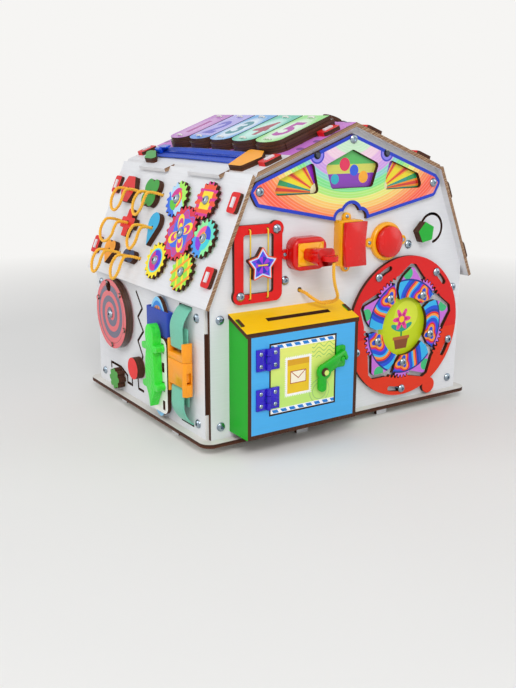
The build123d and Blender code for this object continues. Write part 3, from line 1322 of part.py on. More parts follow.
def buckle_socket():
    """Lower half of the buckle: a flat sleeve with side windows and a bar for the strap."""
    centre, tube = buckle_shell(BUCKLE_BOTTOM, BUCKLE_JOINT, 0)
    sleeve = extrude(centre * tube, BUCKLE_JOINT - BUCKLE_BOTTOM)
    hollow = Rectangle(BUCKLE_WIDTH - 2 * BUCKLE_WALL, BUCKLE_THICKNESS - 2 * BUCKLE_WALL)
    sleeve -= extrude(centre.offset(12) * hollow, BUCKLE_JOINT)
    opening = Rectangle(STRAP_WIDTH + 2, BUCKLE_THICKNESS + 2)
    sleeve -= extrude(centre.offset(-1) * opening, 10)
    middle = BUCKLE_BOTTOM + 18
    for side in (-1, 1):
        sleeve -= at(LEFT, BUCKLE_U + side * BUCKLE_WIDTH / 2, middle, BUCKLE_LOW + BUCKLE_THICKNESS / 2, Box(8, 12, 5))
    return group([sleeve + buckle_bar(BUCKLE_BOTTOM + 4)])


def buckle_plug():
    """Upper half: a frame with the strap's bar and two sprung prongs in the sleeve."""
    centre, tube = buckle_shell(BUCKLE_JOINT, BUCKLE_TOP, 0)
    gap = BUCKLE_FIT
    head = extrude(centre.offset(gap) * tube, BUCKLE_TOP - BUCKLE_JOINT - gap)
    opening = Rectangle(STRAP_WIDTH + 2, BUCKLE_THICKNESS + 2)
    head -= extrude(centre.offset(7) * opening, BUCKLE_TOP)
    inside = BUCKLE_WIDTH / 2 - BUCKLE_WALL - gap
    thick = BUCKLE_THICKNESS - 2 * BUCKLE_WALL - 2 * gap
    for side in (-1, 1):
        prong = Pos(side * (inside - PRONG_WIDTH / 2), 0) * Rectangle(PRONG_WIDTH, thick)
        head += extrude(centre.offset(-PRONG_LENGTH) * prong, PRONG_LENGTH + 1)
    return head + buckle_bar(BUCKLE_TOP - 5)


# ---------------------------------------------------------------- roof toys
def gear_outline(teeth, turn):
    pitch_r = GEAR_MODULE * teeth / 2
    root = pitch_r - GEAR_DEDENDUM
    tip = pitch_r + GEAR_ADDENDUM
    width = pi * GEAR_MODULE / 4 - GEAR_BACKLASH
    half_root = degrees((width + GEAR_FLANK) / root)
    half_tip = degrees((width - GEAR_FLANK) / tip)
    points = []
    for k in range(teeth):
        angle = turn + 360 / teeth * k
        points += [
            polar(root, angle - half_root),
            polar(tip, angle - half_tip),
            polar(tip, angle + half_tip),
            polar(root, angle + half_root),
        ]
    return outline(points) - Circle(PIVOT_R + PIVOT_FIT)


def pinion_turn(direction):
    """Turn of a pinion that puts a gap where the large gear's tooth comes."""
    share = (direction / (360 / GEAR_TEETH)) % 1
    return direction + 180 - (0.5 - share) * 360 / PINION_TEETH


def gear_centres():
    distance = GEAR_MODULE * (GEAR_TEETH + PINION_TEETH) / 2
    return (GEAR_AT,) + tuple(polar(distance, direction, GEAR_AT) for direction in PINION_DIRECTIONS)


def gear_large():
    return raised(LOWER, Pos(*GEAR_AT) * gear_outline(GEAR_TEETH, 0.0), LIFT, LIFT + PLY)


def gear_small(index):
    shape = gear_outline(PINION_TEETH, pinion_turn(PINION_DIRECTIONS[index]))
    return raised(LOWER, Pos(*gear_centres()[index + 1]) * shape, LIFT, LIFT + PLY)


def sorter_shapes():
    cross = Rectangle(31, 12) + Rectangle(12, 31)
    leaf = Pos(0, 6) * Circle(11) + outline([(-10.6, 3), (10.6, 3), (0, -19)])
    heart = Pos(-5.5, 4) * Circle(7.5) + Pos(5.5, 4) * Circle(7.5) + outline([(-12, 0), (12, 0), (0, -15)])
    return {
        "sorter_red": fillet(RegularPolygon(17, 6).vertices(), 2),
        "sorter_green": Sketch() + [Pos(x, y) * Circle(8.5) for x in (-6.5, 6.5) for y in (-6.5, 6.5)] + Rectangle(14, 14),
        "sorter_cross": fillet(cross.vertices(), 2),
        "sorter_sky": leaf,
        "sorter_orange": heart,
        "sorter_navy": Pos(-6.5, 0) * Circle(7) + Pos(6.5, 0) * Circle(7) + Rectangle(13, 10),
    }


def sorter(name):
    shape = Sketch() + sorter_shapes()[name] - Circle(SORTER_HOLE_R)
    return raised(LOWER, Pos(*SORTERS[name][0]) * shape, SOFT_GAP, SOFT_GAP + SORTER_THICKNESS)


def xylophone():
    """Layered board with a scalloped lower edge, and a numbered bar on each of its scallops."""
    length, depth = XYLO_SIZE
    width, height = BAR_SIZE
    rim = (depth - height) / 2
    straight = height - width / 4
    shape = Pos(0, (height - straight) / 2) * Rectangle(length, straight + rim)
    shape = Pos(XYLO_CENTRE[0], XYLO_CENTRE[1] + rim / 2) * shape
    bars = []
    for index in range(BAR_COUNT):
        u = XYLO_CENTRE[0] + (index - (BAR_COUNT - 1) / 2) * BAR_PITCH
        end = Pos(0, width / 4 - height / 2)
        plain = Pos(0, width / 8) * Rectangle(width, straight)
        bar = Pos(u, XYLO_CENTRE[1]) * (plain + end * Ellipse(width / 2, width / 4))
        bars.append(raised(UPPER, bar, XYLO_BASE, XYLO_BASE + PLY))
        shape += Pos(u, XYLO_CENTRE[1]) * end * Ellipse(BAR_PITCH / 2, width / 4 + rim)
    return group([raised(UPPER, shape, 0, XYLO_BASE)] + bars)


def zip_track():
    """Zip tape with its row of teeth, held at both ends by a wooden piece."""
    left, right = ZIP_U
    low, high = ZIP_V
    centre = ((left + right) / 2, (low + high) / 2)
    tape = raised(UPPER, Pos(*centre) * Rectangle(right - left, high - low), 0, TAPE_THICKNESS)
    tape += raised(UPPER, Pos(*centre) * Rectangle(right - left - 16, ZIP_TEETH[0]), 0, TAPE_THICKNESS + ZIP_TEETH[1])
    ends = []
    for points in (GREEN_END, YELLOW_END):
        shape = outline(points)
        shape = fillet(shape.vertices(), 3)
        cover = Pos(*centre) * Rectangle(right - left + 2 * SOFT_GAP, high - low + 2 * SOFT_GAP)
        end = raised(UPPER, shape, TAPE_THICKNESS + SOFT_GAP, TAPE_THICKNESS + SOFT_GAP + PLY)
        end += raised(UPPER, shape - cover, 0, TAPE_THICKNESS + SOFT_GAP)
        ends.append(end)
    return group([tape] + ends)


def zip_slider():
    """Slider over the zip's teeth with its pull."""
    length, width, height = SLIDER_SIZE
    v = (ZIP_V[0] + ZIP_V[1]) / 2
    low = TAPE_THICKNESS + ZIP_TEETH[1] + SOFT_GAP
    body = raised(UPPER, Pos(SLIDER_U, v) * RectangleRounded(length, width, 3), TAPE_THICKNESS + SOFT_GAP, low + height)
    channel = Pos(SLIDER_U, v) * Rectangle(length + 2, ZIP_TEETH[0] + 2 * SOFT_GAP)
    body -= raised(UPPER, channel, 0, low)
    pull_length, pull_width, pull_thick = PULL_SIZE
    pull = Pos(SLIDER_U + pull_length / 2, v) * RectangleRounded(pull_length, pull_width, 3)
    body += raised(UPPER, pull, low + height, low + height + pull_thick)
    return body


SPINNER_AT_LEFT = (-SPINNER_AT[0], SPINNER_AT[1])


def spinner():
    """Three-lobed spinner on the right-hand slope near the ridge."""
    shape = Circle(SPINNER_HUB_R)
    for k in range(SPINNER_LOBES):
        angle = 90 + 360 / SPINNER_LOBES * k
        shape += Pos(*polar(SPINNER_ARM, angle)) * Circle(SPINNER_LOBE_R)
    shape -= Circle(PIVOT_R + PIVOT_FIT)
    return mirrored(raised(UPPER, Pos(*SPINNER_AT_LEFT) * shape, LIFT, LIFT + SPINNER_THICKNESS))


# ---------------------------------------------------------------- all nodes
def strap_lower():
    return strap_half(STRAP_SLOT_ZS[0], BUCKLE_BOTTOM + 4)


def strap_upper():
    return strap_half(STRAP_SLOT_ZS[1], BUCKLE_TOP - 5)


NODES = {
    "base_plate": base_plate,
    "front_wall": front_wall,
    "back_wall": lambda: end_wall(1),
    "side_walls": lambda: group([left_wall(), mirrored(side_wall())]),
    "roof_panels": roof_panels,
    "corner_brackets": corner_brackets,
    "roof_lock_plates": lock_plates,
    "dome_bolts": dome_bolts,
    "gable_board": gable_board,
    "window_lights": window_lights,
    "star_frame": star_frame,
    "star_bead": star_bead,
    "elastics": elastics,
    "socket_housing": socket_housing,
    "toy_plug": toy_plug,
    "plug_cord": plug_cord,
    "switch_box": switch_box,
    "switch_rocker": switch_rocker,
    "bell_base": bell_base,
    "bell_button": bell_button,
    "pentagon_knob": pentagon_knob,
    "mailbox_sides": mailbox_sides,
    "mailbox_lid": mailbox_lid,
    "mailbox_front": mailbox_front,
    "mailbox_fittings": mailbox_fittings,
    "mailbox_door": mailbox_door,
    "hinge_door_leaves": hinge_door_leaves,
    "latch_hook": latch_hook,
    "iris_ring": iris_ring,
    "maze_disc": maze_disc,
    "zigzag_knob": zigzag_knob,
    "star_knob": star_knob,
    "left_wall_boards": left_wall_boards,
    "crocodile": crocodile,
    "strap_lower": strap_lower,
    "strap_upper": strap_upper,
    "buckle_socket": buckle_socket,
    "buckle_plug": buckle_plug,
    "gear_large": gear_large,
    "tether_cords": tether_cords,
    "xylophone": xylophone,
    "zip_track": zip_track,
    "zip_slider": zip_slider,
    "spinner": spinner,
}
for index in range(IRIS_COUNT):
    NODES[f"iris_petal_{index + 1}"] = lambda index=index: iris_petal(index)
for index in range(len(PINION_DIRECTIONS)):
    NODES[f"gear_small_{index + 1}"] = lambda index=index: gear_small(index)
for name in SORTERS:
    NODES[name] = lambda name=name: sorter(name)

os.makedirs("parts", exist_ok=True)
for name, build in NODES.items():
    export_step(build(), f"parts/{name}.step")
print(len(NODES), "nodes")
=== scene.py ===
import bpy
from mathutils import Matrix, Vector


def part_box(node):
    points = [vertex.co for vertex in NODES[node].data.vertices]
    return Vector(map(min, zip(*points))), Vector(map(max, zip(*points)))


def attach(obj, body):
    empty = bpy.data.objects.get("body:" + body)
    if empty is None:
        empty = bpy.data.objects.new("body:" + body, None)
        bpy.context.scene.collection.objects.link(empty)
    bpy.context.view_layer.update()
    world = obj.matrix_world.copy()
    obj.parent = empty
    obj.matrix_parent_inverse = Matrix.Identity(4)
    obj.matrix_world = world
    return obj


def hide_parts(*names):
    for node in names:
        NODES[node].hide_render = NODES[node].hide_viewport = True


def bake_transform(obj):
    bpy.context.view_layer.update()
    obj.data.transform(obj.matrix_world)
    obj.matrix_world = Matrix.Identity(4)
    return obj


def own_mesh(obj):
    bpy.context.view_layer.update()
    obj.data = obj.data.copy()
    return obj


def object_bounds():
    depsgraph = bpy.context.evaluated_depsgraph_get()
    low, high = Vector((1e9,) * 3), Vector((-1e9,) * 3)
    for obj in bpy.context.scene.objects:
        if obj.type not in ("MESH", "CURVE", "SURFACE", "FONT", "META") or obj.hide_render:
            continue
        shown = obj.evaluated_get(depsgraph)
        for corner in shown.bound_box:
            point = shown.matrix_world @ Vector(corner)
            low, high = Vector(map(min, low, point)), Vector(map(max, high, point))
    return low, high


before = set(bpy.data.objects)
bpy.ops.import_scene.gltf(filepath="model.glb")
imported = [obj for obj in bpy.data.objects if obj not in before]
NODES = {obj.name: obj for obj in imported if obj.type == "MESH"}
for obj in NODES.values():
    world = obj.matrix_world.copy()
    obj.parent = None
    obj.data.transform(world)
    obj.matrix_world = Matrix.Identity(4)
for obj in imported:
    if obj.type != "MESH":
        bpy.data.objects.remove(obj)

import ast
from math import cos, hypot, pi, radians, sin

import bmesh
import bpy
from mathutils import Matrix, Vector

cad_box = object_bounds()
MM = 0.001
SCENE = bpy.context.scene

# ---- places of the toys, in mm
WALL_Y = -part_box("front_wall")[0][1] / MM
WALL_X = -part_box("side_walls")[0][0] / MM
RIDGE = Vector((0.0, 0.0, 302.5))
KNEE = Vector((120.0, 0.0, 256.5))
EAVE = Vector((172.0, 0.0, 136.0))
PLY = 4.0
SOFT_GAP = 0.3
GABLE_HALF = ((0.0, 291.5), (114.0, 248.5), (121.0, 240.0), (113.0, 226.0), (20.0, 207.5))
SCALLOPS = ((0.0, 212.5, 11.0), (12.5, 209.0, 7.5))
STAR_AT = (-111.0, 172.75)
STAR_TOP = 11.2
STRAND_X, STRAND_Z = 10.0, 33.0
SOCKET_AT = (-57.0, 179.0)
SWITCH_AT = (-4.5, 185.0)
BELL_AT = (49.0, 182.0)
EAR_TOP = 3.0
IRIS_AT = (78.0, 87.5)
IRIS_PIVOT_R, IRIS_TIP_R, IRIS_PHASE = 40.0, 58.0, 52.7
HINGE_X, HINGE_ZS, LEAF_TOP = -120.0, (48.5, 87.5), 34.6
MAZE_AT, MAZE_PITCH, MAZE_INNER = (-67.0, 94.0), 13.0, 4.0
OVAL_AT, OVAL_SIZE = (43.0, 69.5), (48.0, 126.0)
BAND_Z = (93.0, 120.0)
STRAP_U, STRAP_WIDTH, STRAP_THICKNESS = 89.5, 25.0, 1.4
STRAP_SLOTS, BUCKLE_BARS = (12.0, 130.0), (48.0, 92.0)
BAR_H, BAR_R = 7.5, 1.6
BUCKLE_TRAVEL = 18.0
GEAR_AT, GEAR_DISTANCE = (55.0, -2.4), 45.0
PINION_DIRECTIONS = (0.0, 54.0, 133.0, -133.0, -54.0)
BARS_AT, BARS_TOP = (7.5, 15.0), 12.0
BAR_COUNT, BAR_PITCH = 5, 44.5
ZIP_U, ZIP_V = (-100.0, 84.0), (-48.0, -22.0)


class Face:
    """A toy face: where it lies, and which way is right and out on it. Up follows from them."""

    def __init__(self, origin, right, out):
        self.origin, self.right, self.out = Vector(origin), Vector(right), Vector(out)
        self.up = self.out.cross(self.right)

    def point(self, u, v, h=0.0):
        """A place in metres, from millimetres right, up and out on the face."""
        return (self.origin + self.right * u + self.up * v + self.out * h) * MM

    def matrix(self, u, v, h):
        """Transform of a flat drawing in millimetres to its place on the face."""
        axes = Matrix((self.right, self.up, self.out)).transposed().to_4x4()
        return Matrix.Translation(self.point(u, v, h)) @ axes @ Matrix.Scale(MM, 4)


def slope(top, bottom, side):
    """Face of a roof panel, side -1 on the left and 1 on the right."""
    down = (bottom - top).normalized()
    middle = (top + bottom) / 2
    return Face((middle.x * side, 0, middle.z), (0, side, 0), (-down.z * side, 0, down.x))


FRONT = Face((0, -WALL_Y, 0), (1, 0, 0), (0, -1, 0))
LEFT = Face((-WALL_X, 0, 0), (0, -1, 0), (-1, 0, 0))
BACK = Face((0, WALL_Y, 0), (-1, 0, 0), (0, 1, 0))
RIGHT = Face((WALL_X, 0, 0), (0, 1, 0), (1, 0, 0))
TOP = Face((0, 0, 0), (1, 0, 0), (0, 0, 1))
UPPER, LOWER = slope(RIDGE, KNEE, -1), slope(KNEE, EAVE, -1)
UPPER_RIGHT, LOWER_RIGHT = slope(RIDGE, KNEE, 1), slope(KNEE, EAVE, 1)
SLOPES = (UPPER, LOWER, UPPER_RIGHT, LOWER_RIGHT)
LID = Face((0, -WALL_Y, 127.5), (1, 0, 0), Vector((0, -13, 33)).normalized())


# ---- nodes
def srgb(text):
    """Linear colour of an sRGB hex value."""
    parts = [int(text[i : i + 2], 16) / 255 for i in (0, 2, 4)]
    return tuple(c / 12.92 if c <= 0.04045 else ((c + 0.055) / 1.055) ** 2.4 for c in parts) + (1.0,)


def fill(tree, node, inputs):
    """Give inputs of a node, by name or by place, each a link or a value."""
    shown = [socket for socket in node.inputs if socket.enabled]
    for key, value in inputs.items() if isinstance(inputs, dict) else enumerate(inputs):
        socket = shown[key] if isinstance(key, int) else node.inputs[key]
        if isinstance(value, bpy.types.NodeSocket):
            tree.links.new(value, socket)
        else:
            socket.default_value = srgb(value) if isinstance(value, str) and socket.type == "RGBA" else value


def add(tree, kind, inputs=(), output=0, **settings):
    """Add a node with its settings and inputs, and return an output, or the node where it has none."""
    node = tree.nodes.new(kind)
    for key, value in settings.items():
        setattr(node, key, value)
    fill(tree, node, inputs)
    outputs = [socket for socket in node.outputs if socket.enabled]
    if not outputs:
        return node
    return outputs[output] if isinstance(output, int) else node.outputs[output]


OPERATIONS = {
    ast.Add: "ADD", ast.Sub: "SUBTRACT", ast.Mult: "MULTIPLY", ast.Div: "DIVIDE", ast.Pow: "POWER",
    ast.Mod: "FLOORED_MODULO", ast.Lt: "LESS_THAN", ast.Gt: "GREATER_THAN", ast.BitAnd: "MINIMUM",
    ast.BitOr: "MAXIMUM", "sqrt": "SQRT", "abs": "ABSOLUTE", "min": "MINIMUM", "max": "MAXIMUM",
    "atan2": "ARCTAN2", "sin": "SINE", "cos": "COSINE",
}


def formula(tree, text, names):
    """Number pattern from a formula in the given names. & is both, | is either."""

    def build(part):
        if isinstance(part, ast.Constant):
            return float(part.value)
        if isinstance(part, ast.Name):
            return names[part.id]
        if isinstance(part, ast.UnaryOp):
            value = build(part.operand)
            if isinstance(value, float):
                return -value
            return add(tree, "ShaderNodeMath", (0.0, value), operation="SUBTRACT")
        if isinstance(part, ast.Compare):
            values, key = (part.left, part.comparators[0]), type(part.ops[0])
        elif isinstance(part, ast.Call):
            values, key = part.args, part.func.id
        else:
            values, key = (part.left, part.right), type(part.op)
        return add(tree, "ShaderNodeMath", [build(value) for value in values], operation=OPERATIONS[key])

    return build(ast.parse(text).body[0].value)


class Places(dict):
    """What a pattern can be drawn by at a point of a face, in mm, each built when it is first used.

    u, v and h are right, up and out; x, y, r and a are the same from the centre and as radius
    and angle; n is how far the surface looks out of the face. drawn adds formulas by name.
    """

    def __init__(self, tree, face, centre=(0.0, 0.0), drawn=()):
        super().__init__()
        self.tree = tree
        self.coordinate = add(tree, "ShaderNodeTexCoord", output="Object")
        sized = {0: self.coordinate, 1: (1 / MM,) * 3, 2: tuple(-face.origin)}
        at = add(tree, "ShaderNodeVectorMath", sized, operation="MULTIPLY_ADD")
        normal = add(tree, "ShaderNodeTexCoord", output="Normal")
        self.measured = {
            "u": (at, face.right), "v": (at, face.up), "h": (at, face.out), "n": (normal, face.out),
        }
        self.worked = {
            "x": f"u - {centre[0]}", "y": f"v - {centre[1]}", "r": "sqrt(x * x + y * y)", "a": "atan2(y, x)",
            **dict(drawn),
        }

    def __missing__(self, key):
        if key in self.worked:
            self[key] = formula(self.tree, self.worked[key], self)
        else:
            vector, way = self.measured[key]
            self[key] = add(self.tree, "ShaderNodeVectorMath", (vector, tuple(way)), operation="DOT_PRODUCT")
        return self[key]


def new_material(name):
    """An empty material, with its tree and its shader."""
    material = bpy.data.materials.new(name)
    material.use_nodes = True
    return material, material.node_tree, material.node_tree.nodes["Principled BSDF"]


def coated(tree, colour, coats, places):
    """Lay coats on a colour. Each is a paint and a formula of how much of it lies where."""
    for paint, where in coats:
        colour = add(tree, "ShaderNodeMix", (formula(tree, where, places), colour, paint), data_type="RGBA")
    return colour


# ---- materials
BURNT, CHARRED = "6b3b20", "34190d"
FIBRE_LENGTH, FIBRE_WIDTH, THREAD_PITCH = 30.0, 1.3, 1.3  # mm


def ply(name, face, paint, coats=(), centre=(0.0, 0.0), drawn=(), flats=(), spare="", burnt=True,
        wood=(BURNT, CHARRED), rough=0.45, coat=0.08, tone=0.06):
    """Painted or printed birch plywood with laser-cut edges.

    The paint has a silky sheen and lets the fibres show a little. The laser has burnt the edges
    dark brown, in layers, because every second ply shows its end grain. spare says where edges
    are painted too, and flats names the faces that aren't cut edges on a bent board.
    """
    material, tree, shader = new_material(name)
    places = Places(tree, face, centre, drawn)
    stretch = tuple(1 / (MM * (FIBRE_LENGTH if abs(part) > 0.5 else FIBRE_WIDTH)) for part in face.right)
    fine = add(tree, "ShaderNodeMapping", {"Vector": places.coordinate, "Scale": stretch})
    fibres = add(tree, "ShaderNodeTexNoise", {"Vector": fine, "Scale": 1.0, "Detail": 3.0})
    broad = add(tree, "ShaderNodeTexNoise", {"Vector": places.coordinate, "Scale": 14.0, "Detail": 2.0})
    places.update(g=fibres, b=broad)
    shade = formula(tree, f"1 + (g - 0.5) * {tone * 2} + (b - 0.5) * {tone}", places)
    painted = {"Color": coated(tree, paint, coats, places), "Value": shade}
    colour = add(tree, "ShaderNodeHueSaturation", painted)
    places["e"] = 0.0
    if burnt:
        cut = "abs(n) < 0.7"
        if flats:
            normal = places.measured["n"][0]
            places.measured.update((f"n{index}", (normal, flat.out)) for index, flat in enumerate(flats))
            cut = "1 - (" + " | ".join(f"(abs(n{index}) > 0.96)" for index in range(len(flats))) + ")"
        if spare:
            cut = f"({cut}) & (1 - ({spare}))"
        places["e"] = formula(tree, cut, places)
        rows = {"W": formula(tree, "h * 1.1", places), "Scale": 1.0}
        places["p"] = add(tree, "ShaderNodeTexNoise", rows, noise_dimensions="1D")
        layers = formula(tree, "max(p - 0.42, 0) * 3 + (b - 0.5) * 0.3", places)
        rows = add(tree, "ShaderNodeMix", (layers, wood[1], wood[0]), data_type="RGBA")
        colour = add(tree, "ShaderNodeMix", (places["e"], colour, rows), data_type="RGBA")
    fill(tree, shader, {
        "Base Color": colour, "Roughness": formula(tree, f"{rough} + e * 0.35 + (g - 0.5) * 0.1", places),
        "Specular IOR Level": 0.3, "Coat Weight": coat, "Coat Roughness": 0.15,
        "Normal": add(tree, "ShaderNodeBump", {"Strength": 0.3, "Distance": 0.0001, "Height": fibres}),
    })
    return material


def moulded(name, paint, coats=(), face=FRONT, centre=(0.0, 0.0), rough=0.26, scales=0.0):
    """Injection-moulded plastic: a hard gloss with faint flow marks, or raised scales of a size in mm."""
    material, tree, shader = new_material(name)
    places = Places(tree, face, centre)
    places["m"] = add(
        tree, "ShaderNodeTexNoise", {"Vector": places.coordinate, "Scale": 70.0, "Detail": 2.0}
    )
    flowing = {"Color": coated(tree, paint, coats, places), "Value": formula(tree, "0.94 + m * 0.12", places)}
    bump = {"Strength": 0.1, "Distance": 0.0002, "Height": places["m"]}
    if scales:
        cells = {"Vector": places.coordinate, "Scale": 1 / (scales * MM)}
        bump = {"Strength": 0.8, "Distance": -0.0008, "Height": add(tree, "ShaderNodeTexVoronoi", cells)}
    fill(tree, shader, {
        "Base Color": add(tree, "ShaderNodeHueSaturation", flowing), "Specular IOR Level": 0.4,
        "Roughness": formula(tree, f"{rough} + (m - 0.5) * 0.1", places), "Coat Weight": 0.15,
        "Coat Roughness": 0.08, "Normal": add(tree, "ShaderNodeBump", bump),
    })
    return material


def plated(name, dark, bright):
    """Zinc-plated steel: bright and bluish, slightly clouded."""
    material, tree, shader = new_material(name)
    coordinate = add(tree, "ShaderNodeTexCoord", output="Object")
    cloud = add(tree, "ShaderNodeTexNoise", {"Vector": coordinate, "Scale": 240.0, "Detail": 2.0})
    fill(tree, shader, {
        "Base Color": add(tree, "ShaderNodeMix", (cloud, dark, bright), data_type="RGBA"), "Metallic": 1.0,
        "Roughness": formula(tree, "0.18 + (c - 0.5) * 0.12", {"c": cloud}),
    })
    return material


def woven(name, bright, dark, face):
    """Woven polyester: matt, with crossing rows of threads, drawn wide enough apart to show."""
    material, tree, shader = new_material(name)
    turn = 2 * pi / THREAD_PITCH
    rows = formula(tree, f"sin(u * {turn}) * sin(v * {turn}) * 0.5 + 0.5", Places(tree, face))
    fill(tree, shader, {
        "Base Color": add(tree, "ShaderNodeMix", (rows, dark, bright), data_type="RGBA"),
        "Roughness": 0.72, "Sheen Weight": 0.25, "Sheen Roughness": 0.4,
        "Normal": add(tree, "ShaderNodeBump", {"Strength": 0.45, "Distance": 0.00025, "Height": rows}),
    })
    return material


def fibrous(name, bright, dark):
    """Twisted polypropylene or elastic thread: fine fibres with a soft shine."""
    material, tree, shader = new_material(name)
    coordinate = add(tree, "ShaderNodeTexCoord", output="Object")
    fibres = add(tree, "ShaderNodeTexNoise", {"Vector": coordinate, "Scale": 900.0, "Detail": 2.0})
    fill(tree, shader, {
        "Base Color": add(tree, "ShaderNodeMix", (fibres, dark, bright), data_type="RGBA"),
        "Roughness": 0.48, "Sheen Weight": 0.2,
        "Normal": add(tree, "ShaderNodeBump", {"Strength": 0.5, "Distance": 0.0002, "Height": fibres}),
    })
    return material


def dress(node, material):
    """Give a CAD node its material."""
    thing = NODES[node]
    if not thing.material_slots:
        thing.data.materials.append(material)
    for held in thing.material_slots:
        held.material = material


def board(node, *look, **more):
    """Give a CAD node plywood of its own look."""
    dress(node, ply(*look, **more))


# ---- meshes
def placed(name, data):
    """New object in the scene."""
    thing = bpy.data.objects.new(name, data)
    SCENE.collection.objects.link(thing)
    return thing


def settle(name, mesh, material, body, smooth=True, replaced=None):
    """Object of a mesh that already lies in its place, riding on a body where one is given."""
    mesh.materials.clear()
    mesh.materials.append(material)
    for polygon in mesh.polygons:
        polygon.use_smooth = smooth
    thing = placed(name, mesh)
    if body:
        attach(thing, body)
    if replaced:
        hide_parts(replaced)
    return thing


def mesh_of(made, name):
    """Mesh of a bmesh, with its faces outwards."""
    bmesh.ops.remove_doubles(made, verts=made.verts, dist=1e-7)
    bmesh.ops.recalc_face_normals(made, faces=made.faces)
    mesh = bpy.data.meshes.new(name)
    made.to_mesh(mesh)
    made.free()
    return mesh


def applied(thing):
    """Mesh of an object with its modifiers applied; the object goes."""
    bpy.context.view_layer.update()
    mesh = bpy.data.meshes.new_from_object(thing.evaluated_get(bpy.context.evaluated_depsgraph_get()))
    bpy.data.objects.remove(thing)
    return mesh


def merged(node):
    """Copy of a CAD node as one bmesh, with the corners of its triangles joined."""
    whole = bmesh.new()
    whole.from_mesh(NODES[node].data)
    bmesh.ops.remove_doubles(whole, verts=whole.verts, dist=1e-6)
    return whole


def islands(whole):
    """The separate solids of a bmesh, each as its vertices, in the same order each run."""
    left, found = dict.fromkeys(whole.verts), []
    while left:
        group = [left.popitem()[0]]
        for vert in group:  # grows while it is walked
            for other in [edge.other_vert(vert) for edge in vert.link_edges]:
                if other in left:
                    del left[other]
                    group.append(other)
        found.append(group)
    return found


def softened(node, width, material, body, segments=2):
    """Copy of a CAD node with its edges rounded, which stands for the node."""
    whole = merged(node)
    bmesh.ops.dissolve_limit(whole, angle_limit=radians(1.5), verts=whole.verts, edges=whole.edges)
    mesh = bpy.data.meshes.new(node)
    whole.to_mesh(mesh)
    whole.free()
    thing = placed(node + "_edges", mesh)
    bevel = thing.modifiers.new("edges", "BEVEL")
    bevel.width = width * MM
    bevel.segments = segments
    bevel.limit_method = "ANGLE"
    bevel.angle_limit = radians(32)
    bevel.harden_normals = True
    return settle(node + "_moulded", applied(thing), material, body, replaced=node)


def rounded(points, radius, steps=6):
    """A line of straight runs joined by rounded bends."""
    points = [Vector(point) for point in points]
    line = [points[0]]
    for before, here, after in zip(points, points[1:], points[2:]):
        reach = min(radius * MM, (here - before).length * 0.48, (after - here).length * 0.48)
        start = here + (before - here).normalized() * reach
        end = here + (after - here).normalized() * reach
        for step in range(steps):
            share = step / (steps - 1)
            line.append(start.lerp(here, share).lerp(here.lerp(end, share), share))
    return line + [points[-1]]


def bridge(made, rings, closed=False):
    """Join rings of vertices to a tube; an open one gets ends."""
    for one, two in list(zip(rings, rings[1:])) + ([(rings[-1], rings[0])] if closed else []):
        for corner in range(len(one)):
            after = (corner + 1) % len(one)
            made.faces.new((one[corner], one[after], two[after], two[corner]))
    if not closed:
        made.faces.new(rings[0][::-1])
        made.faces.new(rings[-1])


def ribbon(name, line, across, width, thickness, material, slot, replaced, closed=False):
    """Strap of the house: a line swept along its width, with softened edges."""
    made = bmesh.new()
    across = Vector(across)
    half = ((0.5, 0.3), (0.5, -0.3), (0.46, -0.5), (-0.46, -0.5))
    profile = half + tuple((-w, -t) for w, t in half)
    rings, count = [], len(line)
    for index, point in enumerate(line):
        before = line[index - 1] if closed or index else line[0]
        after = line[(index + 1) % count] if closed or index < count - 1 else line[-1]
        out = (after - before).normalized().cross(across).normalized()
        offsets = [across * w * width + out * t * thickness for w, t in profile]
        rings.append([made.verts.new(point + offset * MM) for offset in offsets])
    bridge(made, rings, closed)
    return settle(name, mesh_of(made, name), material, "house", replaced=replaced)


STRAND_SHARE = 0.56  # radius of a twisted strand, as a share of the cord's


def twist(name, points, radius, count=3, pitch=8.5, corners=8):
    """Strands twisted round a line; one strand is a plain thread. Radius and pitch in mm."""
    made = bmesh.new()
    tangents = [(b - a).normalized() for a, b in zip(points, points[1:])]
    tangents.append(tangents[-1])
    side, sides, walked = tangents[0].orthogonal().normalized(), [], [0.0]
    for tangent in tangents:
        side = (side - tangent * side.dot(tangent)).normalized()
        sides.append((side.copy(), tangent.cross(side)))
    for a, b in zip(points, points[1:]):
        walked.append(walked[-1] + (b - a).length / MM)
    strand = radius * (STRAND_SHARE if count > 1 else 1.0)
    for number in range(count):
        rings = []
        for point, (a, b), way in zip(points, sides, walked):
            turn = 2 * pi * (number / count + way / pitch)
            centre = point + (a * cos(turn) + b * sin(turn)) * (radius - strand) * MM
            angles = [2 * pi * corner / corners for corner in range(corners)]
            rings.append([made.verts.new(centre + (a * cos(t) + b * sin(t)) * strand * MM) for t in angles])
        bridge(made, rings)
    return mesh_of(made, name)


